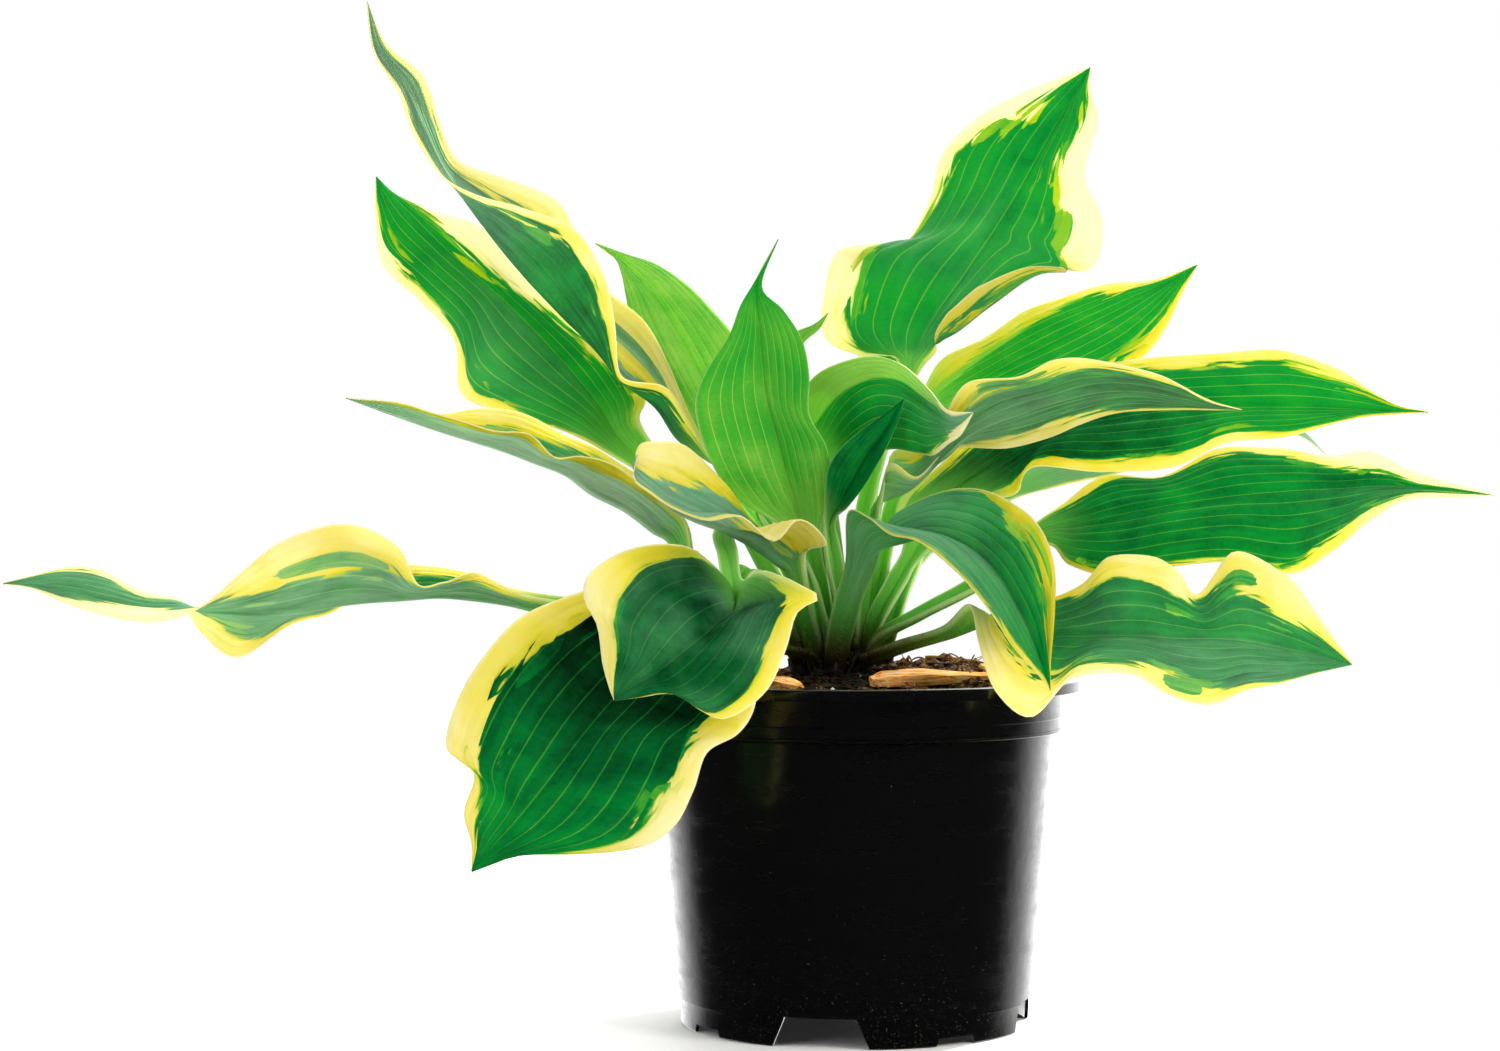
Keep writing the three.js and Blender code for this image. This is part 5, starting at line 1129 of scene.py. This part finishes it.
# Peat: half-rotted moss milled into dark crumbs and brown fibres. Its crumbs are dull and hold hollows of
# shade, and round the stalks' feet it is painted nearly black, as painted shade under the crown. Sizes in mm.
peatFinish = dict(
    crumb=3.2, fleck=1.1, roughness=0.95, ior=1.5, relief=0.8, reliefStrength=0.9, crownShade="#080504",
    crownShadeAt=(-9, -42, 142), crownShadeTo=24, unshadedFrom=40, unshadedLeast=0.1, stops=(0.05, 0.3, 0.62),
)
peatColors = dict(
    milledPeat=("#1c120d", "#3f2a1a", "#b08552"),
    drySphagnumFibre=("#3a2414", "#7a5230", "#bf8d52"),
    expandedPerliteGrit=("#a7a095", "#d8d3ca", "#f1eee8"),
)
soilForm = dict(
    edgeHeight=140.5, centreHeight=143, edgeWidth=40, moundHeight=7, moundSpread=30, moundX=38, moundY=-5,
    rings=110, sides=220, radius=83.8, lowRadius=71.6, lowHeight=14.1, ledgeTop=125.2, ledgeRadius=80.4,
    ledgeBottom=122.4, rough=1.1, roughFrom=3,
)
soilLumps = ((3, 0.7, 5, 9), (4, 0.5, 1.9, 11), (5, 0.35, 0.9, 13))  # seed, height, size, number of waves
looseForm = dict(
    seed=11, crumbs=1100, grits=26, fibres=230, reach=83, bareX=-9, bareY=1, bareRadius=25,
    crumbMean=0.9, crumbLeast=0.5, crumbMost=3.2, crumbSunk=0.25, brownShare=0.25, gritLow=0.7, gritHigh=1.7,
    gritSunk=0.3, fibreShort=6, fibreLong=20, fibreThin=0.18, fibreThick=0.42, fibreSteps=12, curl=2.2,
    wander=0.25, liftLow=0.3, liftHigh=3.2, liftMound=6, moundWithin=26, fibreReach=82, fibreAbove=0.6,
)
lumpForm = dict(
    levels=((-1, 0), (-0.5, 0.85), (0.25, 1), (1, 0)), around=6, stretch=(0.6, 1.3), push=(0.75, 1.2),
    flat=0.8, lift=(0.85, 1.1),
)
strandForm = dict(sides=5, endThin=0.35, slant=(0.31, 0.22, 0.92))


def peatMaterial(name, shadedAtCrown=True):
    material, tree, output = newMaterial(name)
    inMm = placeIn(tree, (1, 1, 1))
    crumb = addNode(tree, "ShaderNodeTexNoise", {
        "Vector": inMm, "Scale": 1 / peatFinish["crumb"], "Detail": 5, "Roughness": 0.7}).outputs["Fac"]
    fleck = addNode(tree, "ShaderNodeTexVoronoi", {"Vector": inMm, "Scale": 1 / peatFinish["fleck"]})
    flecks = addNode(tree, "ShaderNodeSeparateColor", {0: fleck.outputs["Color"]}).outputs[0]
    mixed = addNode(tree, "ShaderNodeMath", {0: crumb, 1: flecks}, operation="MULTIPLY").outputs[0]
    ramp = addNode(tree, "ShaderNodeValToRGB", {"Fac": mixed})
    body = fillRamp(ramp, list(zip(peatFinish["stops"], peatColors[name])))
    # painted shade: nearly black round the crown, fading out to the peat's own colours further away
    if shadedAtCrown:
        apart = addNode(tree, "ShaderNodeVectorMath", {
            0: inMm, 1: tuple(potAxis / mm + peatFinish["crownShadeAt"])}, operation="DISTANCE").outputs["Value"]
        unshaded = addNode(tree, "ShaderNodeMapRange", {
            "Value": apart, "From Min": peatFinish["crownShadeTo"], "From Max": peatFinish["unshadedFrom"],
            "To Min": peatFinish["unshadedLeast"]}).outputs[0]
        body = addNode(tree, "ShaderNodeMix", {0: unshaded, 6: hexColor(peatFinish["crownShade"]), 7: body},
                       data_type="RGBA").outputs[2]
    coverWith(peatFinish, tree, output, body, peatFinish["roughness"], crumb)
    return material


milledPeat = peatMaterial("milledPeat")
peatFibre = peatMaterial("drySphagnumFibre")
perlite = peatMaterial("expandedPerliteGrit", shadedAtCrown=False)


def soilHeight(x, y):
    # the peat without its lumps: lower at the wall, with a mound at the right
    form = soilForm
    rise = smoothStep(potForm["collarTop"] - np.hypot(x, y), 0, form["edgeWidth"])
    far = ((x - form["moundX"]) ** 2 + (y - form["moundY"]) ** 2) / (2 * form["moundSpread"] ** 2)
    swell = form["centreHeight"] - form["edgeHeight"] + form["moundHeight"] * np.exp(-far)
    return form["edgeHeight"] + rise * swell


def roughHeight(x, y):
    fade = smoothStep(soilForm["radius"] - np.hypot(x, y), 0, soilForm["roughFrom"])
    lumps = sum(high * waves(seed, x / size, y / size, count) for seed, high, size, count in soilLumps)
    return soilHeight(x, y) + soilForm["rough"] * lumps * fade


def ringFaces(rings, sides):
    # a fan round the first point, quads from ring to ring, and one face that closes the last ring
    faces = [(0, 1 + k, 1 + (k + 1) % sides) for k in range(sides)]
    for ring in range(rings - 1):
        inner, outer = 1 + ring * sides, 1 + (ring + 1) * sides
        for k in range(sides):
            n = (k + 1) % sides
            faces.append((inner + k, outer + k, outer + n, inner + n))
    faces.append(tuple(1 + (rings - 1) * sides + k for k in reversed(range(sides))))
    return faces


form = soilForm
turns = np.linspace(0, 2 * math.pi, form["sides"], endpoint=False)
places = [(0.0, 0.0, float(roughHeight(0.0, 0.0)))]
for i in range(1, form["rings"] + 1):
    radius = form["radius"] * i / form["rings"]
    x, y = radius * np.cos(turns), radius * np.sin(turns)
    places += np.stack([x, y, roughHeight(x, y)], axis=-1).tolist()
below = ((form["radius"], form["ledgeTop"]), (form["ledgeRadius"], form["ledgeBottom"]),
         (form["lowRadius"], form["lowHeight"]))
for radius, z in below:
    places += [(radius * math.cos(a), radius * math.sin(a), z) for a in turns]
faces = ringFaces(form["rings"] + len(below), form["sides"])
soilPiece = newPiece("visible_soil", places, faces, [milledPeat])
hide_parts("soil")

draw = random.Random(looseForm["seed"])


def onSoil():
    # a place anywhere on the peat, but not under the crown
    while True:
        radius = looseForm["reach"] * math.sqrt(draw.random())
        turn = draw.uniform(0, 2 * math.pi)
        x, y = radius * math.cos(turn), radius * math.sin(turn)
        if math.hypot(x - looseForm["bareX"], y - looseForm["bareY"]) > looseForm["bareRadius"]:
            return x, y


def addLump(places, faces, centre, size):
    # an uneven crumb: a point, two rings and a point, each pushed in or out by its own draw
    around, start = lumpForm["around"], len(places)
    stretch = [draw.uniform(*lumpForm["stretch"]) for _ in range(3)]
    turn = draw.uniform(0, math.pi)
    for level, width in lumpForm["levels"]:
        for k in range(around if width else 1):
            a = 2 * math.pi * (k + 0.5 * (level > 0)) / around
            push = draw.uniform(*lumpForm["push"])
            x, y = width * math.cos(a) * stretch[0] * push, width * math.sin(a) * stretch[1] * push
            z = level * stretch[2] * lumpForm["flat"] * draw.uniform(*lumpForm["lift"])
            places.append((centre[0] + size * (x * math.cos(turn) - y * math.sin(turn)),
                           centre[1] + size * (x * math.sin(turn) + y * math.cos(turn)), centre[2] + size * z))
    low, high, end = start + 1, start + 1 + around, start + 1 + 2 * around
    for k in range(around):
        n = (k + 1) % around
        faces += [(start, low + n, low + k), (low + k, low + n, high + n, high + k), (high + k, high + n, end)]


def addStrand(places, faces, path, radius):
    # a thin tube along a path, drawn thinner at both ends
    sides, thin = strandForm["sides"], strandForm["endThin"]
    path = np.array(path)
    start, count = len(places), len(path)
    ways = unit(np.gradient(path, axis=0))
    flat = unit(np.cross(ways, strandForm["slant"]))  # across the path, from a slant that no fibre follows
    up = np.cross(flat, ways)
    for i in range(count):
        size = radius * (thin + (1 - thin) * math.sin(math.pi * (i + 0.5) / count))
        for k in range(sides):
            a = 2 * math.pi * k / sides
            places.append((path[i] + flat[i] * size * math.cos(a) + up[i] * size * math.sin(a)).tolist())
    for i in range(count - 1):
        for k in range(sides):
            n = (k + 1) % sides
            a, b = start + i * sides, start + (i + 1) * sides
            faces.append((a + k, a + n, b + n, b + k))
    faces.append(tuple(start + k for k in reversed(range(sides))))
    faces.append(tuple(start + (count - 1) * sides + k for k in range(sides)))


def fibrePath(x, y):
    # a fibre lies curled on the peat, arched a little, and stands higher on the mound
    loose = looseForm
    turn, length = draw.uniform(0, 2 * math.pi), draw.uniform(loose["fibreShort"], loose["fibreLong"])
    apart = math.hypot(x - soilForm["moundX"], y - soilForm["moundY"])
    highest = loose["liftHigh"] if apart > loose["moundWithin"] else loose["liftMound"]
    curl, lift = draw.uniform(-loose["curl"], loose["curl"]), draw.uniform(loose["liftLow"], highest)
    path, steps = [], loose["fibreSteps"]
    for k in range(steps + 1):
        share = k / steps
        path.append((x, y, float(soilHeight(x, y)) + loose["fibreAbove"] + lift * math.sin(math.pi * share)))
        x += length / steps * math.cos(turn)
        y += length / steps * math.sin(turn)
        turn += curl / steps + draw.uniform(-loose["wander"], loose["wander"])
        away = math.hypot(x, y)
        if away > loose["fibreReach"]:
            x, y = x * loose["fibreReach"] / away, y * loose["fibreReach"] / away
    return path


places, faces, faceSlots = [], [], []
for i in range(looseForm["crumbs"]):
    x, y = onSoil()
    size = min(draw.expovariate(1 / looseForm["crumbMean"]) + looseForm["crumbLeast"], looseForm["crumbMost"])
    count = len(faces)
    addLump(places, faces, (x, y, float(roughHeight(x, y)) + size * looseForm["crumbSunk"]), size)
    faceSlots += [0 if draw.random() > looseForm["brownShare"] else 1] * (len(faces) - count)
for i in range(looseForm["grits"]):
    x, y = onSoil()
    count = len(faces)
    size = draw.uniform(looseForm["gritLow"], looseForm["gritHigh"])
    addLump(places, faces, (x, y, float(roughHeight(x, y)) + size * looseForm["gritSunk"]), size)
    faceSlots += [2] * (len(faces) - count)
for i in range(looseForm["fibres"]):
    path = fibrePath(*onSoil())
    count = len(faces)
    addStrand(places, faces, path, draw.uniform(looseForm["fibreThin"], looseForm["fibreThick"]))
    faceSlots += [1] * (len(faces) - count)
newPiece("soil_crumbs", places, faces, [milledPeat, peatFibre, perlite], smooth=False,
         faceSlots=faceSlots)
print("soil built")

# Crown: the fused bases of the stalks in their old sheaths, dried to thin purple-black paper. They are ribbed
# lengthwise, dull, and straw-coloured along the highest ribs.
sheathFinish = dict(
    dark="#0d0a0c", brown="#33232a", straw="#6d5540", rib=1.6, ribLength=9, relief=0.4, reliefStrength=0.8,
    roughness=0.62, ior=1.45,
)
crownForm = dict(
    x=-9, y=1, radius=27, rim=141.5, top=144.5, tip=0.4, bottom=128.0, rings=40, sides=110, fall=2.2,
    rough=0.9, roughSize=2.6, roughFall=4, roughSeed=21, roughWaves=9,
)
collarForm = dict(
    seed=31, low=4, high=13, around=22, sunk=6.0, foot=1.0, flare=0.35, wide=2.9, deep=1.5, out=1.1,
    inside=0.45, thick=0.4, opening=0.22, waved=0.12, torn=((0.3, 3, 1), (0.22, 7, 2)),
)

drySheath, tree, output = newMaterial("paperyDrySheath")
inRibs = placeIn(tree, (sheathFinish["rib"], sheathFinish["rib"], sheathFinish["ribLength"]))
rib = addNode(tree, "ShaderNodeTexNoise", {
    "Vector": inRibs, "Scale": 1, "Detail": 4, "Roughness": 0.6}).outputs["Fac"]
body = fillRamp(addNode(tree, "ShaderNodeValToRGB", {"Fac": rib}), [
    (0.3, sheathFinish["dark"]), (0.6, sheathFinish["brown"]), (0.8, sheathFinish["straw"])])
coverWith(sheathFinish, tree, output, body, sheathFinish["roughness"], rib)


def addCollar(places, faces, rows, tall):
    # a torn collar of old sheath round a stalk's foot: an outer and an inner skin, closed above and below
    collar, foot = collarForm, rows[1][1]
    lean, side = unit(rows[2][1] - foot), unit(rows[1][2] - rows[1][0])
    back = np.cross(side, lean)
    around, start = collar["around"], len(places)
    levels = (-collar["sunk"], -collar["foot"], collar["flare"] * tall, tall)
    last = len(levels) - 1
    for outer in (1, 0):
        for level, height in enumerate(levels):
            for k in range(around):
                a = 2 * math.pi * k / around
                tear = sum(deep * math.sin(teeth * a + turn * tall) for deep, teeth, turn in collar["torn"])
                rise = height * (1 + tear * (level == last))
                out = outer * collar["thick"] + collar["inside"] + collar["opening"] * level / last
                out = collar["out"] * (out + collar["waved"] * math.sin(5 * a + level))
                places.append((foot + lean * rise + side * math.cos(a) * (collar["wide"] + out)
                               + back * math.sin(a) * (collar["deep"] + out)).tolist())
    layer = len(levels) * around
    for outer in (1, 0):
        offset = start + (1 - outer) * layer
        for level in range(last):
            for k in range(around):
                n = (k + 1) % around
                low, high = offset + level * around, offset + (level + 1) * around
                loop = (low + k, low + n, high + n, high + k)
                faces.append(loop if outer else loop[::-1])
    top = start + last * around
    for k in range(around):
        n = (k + 1) % around
        faces.append((top + k, top + n, top + layer + n, top + layer + k))
        faces.append((start + n, start + k, start + layer + k, start + layer + n))


form = crownForm
turns = np.linspace(0, 2 * math.pi, form["sides"], endpoint=False)
places = [(form["x"], form["y"], form["top"] + form["tip"])]
for i in range(1, form["rings"] + 1):
    share = i / form["rings"]
    x = form["x"] + form["radius"] * share * np.cos(turns)
    y = form["y"] + form["radius"] * share * np.sin(turns)
    uneven = waves(form["roughSeed"], x / form["roughSize"], y / form["roughSize"], form["roughWaves"])
    uneven = form["rough"] * uneven * (1 - share ** form["roughFall"])
    z = form["rim"] + (form["top"] - form["rim"]) * (1 - share ** form["fall"]) + uneven
    places += np.stack([x, y, z], axis=-1).tolist()
places += [(form["x"] + form["radius"] * math.cos(a), form["y"] + form["radius"] * math.sin(a), form["bottom"])
           for a in turns]
faces = ringFaces(form["rings"] + 1, form["sides"])
draw = random.Random(collarForm["seed"])
for leaf in leaves:
    addCollar(places, faces, railsOf(leaf)[0], draw.uniform(collarForm["low"], collarForm["high"]))
crownPiece = newPiece("visible_crown", places, faces, [drySheath])
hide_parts("crown")
print("crown built")

# Bark and twig: pine bark split by hand along its fibres, orange-tan where it is fresh and pale on its high
# fibres, with dark lines between them. The orange and the pale are made brighter than the bark itself, as
# painted light from behind, and the pale tops of the fibres are partly a painted highlight. Split wood is dull
# all over. Sizes in mm.
barkFinish = dict(
    orangeWithPaintedLight="#ffb355", paleWithPaintedHighlight="#fff4d6", dark="#a65a20", fibre=0.7, along=14, roughness=0.88, ior=1.5,
    relief=0.5, reliefStrength=0.9,
)
barkForm = dict(
    voxel=0.45, thin=0.6, thinFrom=0.3, startThin=0.3, startTo=0.1,
    rag=2.4, ragFrom=0.86, ragSize=0.9, ragSeed=53, ragWaves=6,
    flute=0.45, fluteAcross=0.55, fluteHigh=0.8, fluteAlong=9, fluteSeed=51, fluteWaves=8, inset=0.25,
)
splinters = dict(
    bark_long=dict(start=(4, -70), end=(58, -34), thinned=1),
    bark_left=dict(start=(-37, -57), end=(-23, -66), thinned=0.7),
    bark_short=dict(start=(50, -22), end=(66, -14), thinned=0.5),
    twig=dict(start=(30, 8), end=(52, -8), thinned=0.3),
)


def barkMaterial(name, heading):
    material, tree, output = newMaterial(name)
    inFibres = placeIn(tree, (barkFinish["along"], barkFinish["fibre"], barkFinish["fibre"]), heading)
    fibre = addNode(tree, "ShaderNodeTexNoise", {
        "Vector": inFibres, "Scale": 1, "Detail": 4, "Roughness": 0.62}).outputs["Fac"]
    # dark lines, then the orange and the pale, which both carry painted light, the pale as a painted highlight
    body = fillRamp(addNode(tree, "ShaderNodeValToRGB", {"Fac": fibre}), [
        (0.3, barkFinish["dark"]), (0.5, barkFinish["orangeWithPaintedLight"]), (0.72, barkFinish["paleWithPaintedHighlight"])])
    coverWith(barkFinish, tree, output, body, barkFinish["roughness"], fibre)
    return material


def readVectors(mesh, kind):
    values = np.zeros(len(mesh.vertices) * 3)
    mesh.vertices.foreach_get(kind, values)
    return values.reshape(-1, 3)


def splintered(places, normals, heading, thinned):
    # thins and splinters the ends of a chip, keeps its underside where it lies, and raises its fibres
    bark = barkForm
    local = (places - potAxis) / mm
    down = local[:, 0] * math.cos(heading) + local[:, 1] * math.sin(heading)
    over = -local[:, 0] * math.sin(heading) + local[:, 1] * math.cos(heading)
    share = (down - down.min()) / (down.max() - down.min())
    fit = np.stack([np.ones(len(down)), down, over], axis=1)
    plane = fit @ np.linalg.lstsq(fit, local[:, 2], rcond=None)[0]
    above = local[:, 2] - plane
    low = above.min()
    thin = 1 - bark["thin"] * smoothStep(share, bark["thinFrom"], 1)
    thin = thin - bark["startThin"] * (1 - smoothStep(share, 0, bark["startTo"]))
    settled = (low + (above - low) * thin - above) * thinned
    rag = waves(bark["ragSeed"], over / bark["ragSize"], local[:, 2] / bark["ragSize"], bark["ragWaves"])
    rag = -bark["rag"] * np.abs(rag) * smoothStep(share, bark["ragFrom"], 1) * thinned
    fluted = over / bark["fluteAcross"] + local[:, 2] / bark["fluteHigh"]
    flute = waves(bark["fluteSeed"], fluted, down / bark["fluteAlong"], bark["fluteWaves"])
    flute = bark["flute"] * flute - bark["inset"]
    moved = np.stack([rag * math.cos(heading), rag * math.sin(heading), settled], axis=1)
    return places + moved * mm + normals * (flute * mm)[:, None]


for name, splinter in splinters.items():
    (startX, startY), (endX, endY) = splinter["start"], splinter["end"]
    heading = math.atan2(endY - startY, endX - startX)
    piece = bpy.data.objects.new("visible_" + name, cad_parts[name].data.copy())
    bpy.context.scene.collection.objects.link(piece)
    grow = piece.modifiers.new("fine", "REMESH")
    grow.mode = "VOXEL"
    grow.voxel_size = barkForm["voxel"] * mm
    fine = withModifiers(piece)
    places, normals = readVectors(fine, "co"), readVectors(fine, "normal")
    places = splintered(places, normals, heading, splinter["thinned"])
    fine.vertices.foreach_set("co", places.ravel())
    fine.materials.clear()
    fine.materials.append(barkMaterial("splitPineBark_" + name, heading))
    fine.polygons.foreach_set("use_smooth", [True] * len(fine.polygons))
    fine.update()
    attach(piece, "root")
    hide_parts(name)
print("bark and twig built")
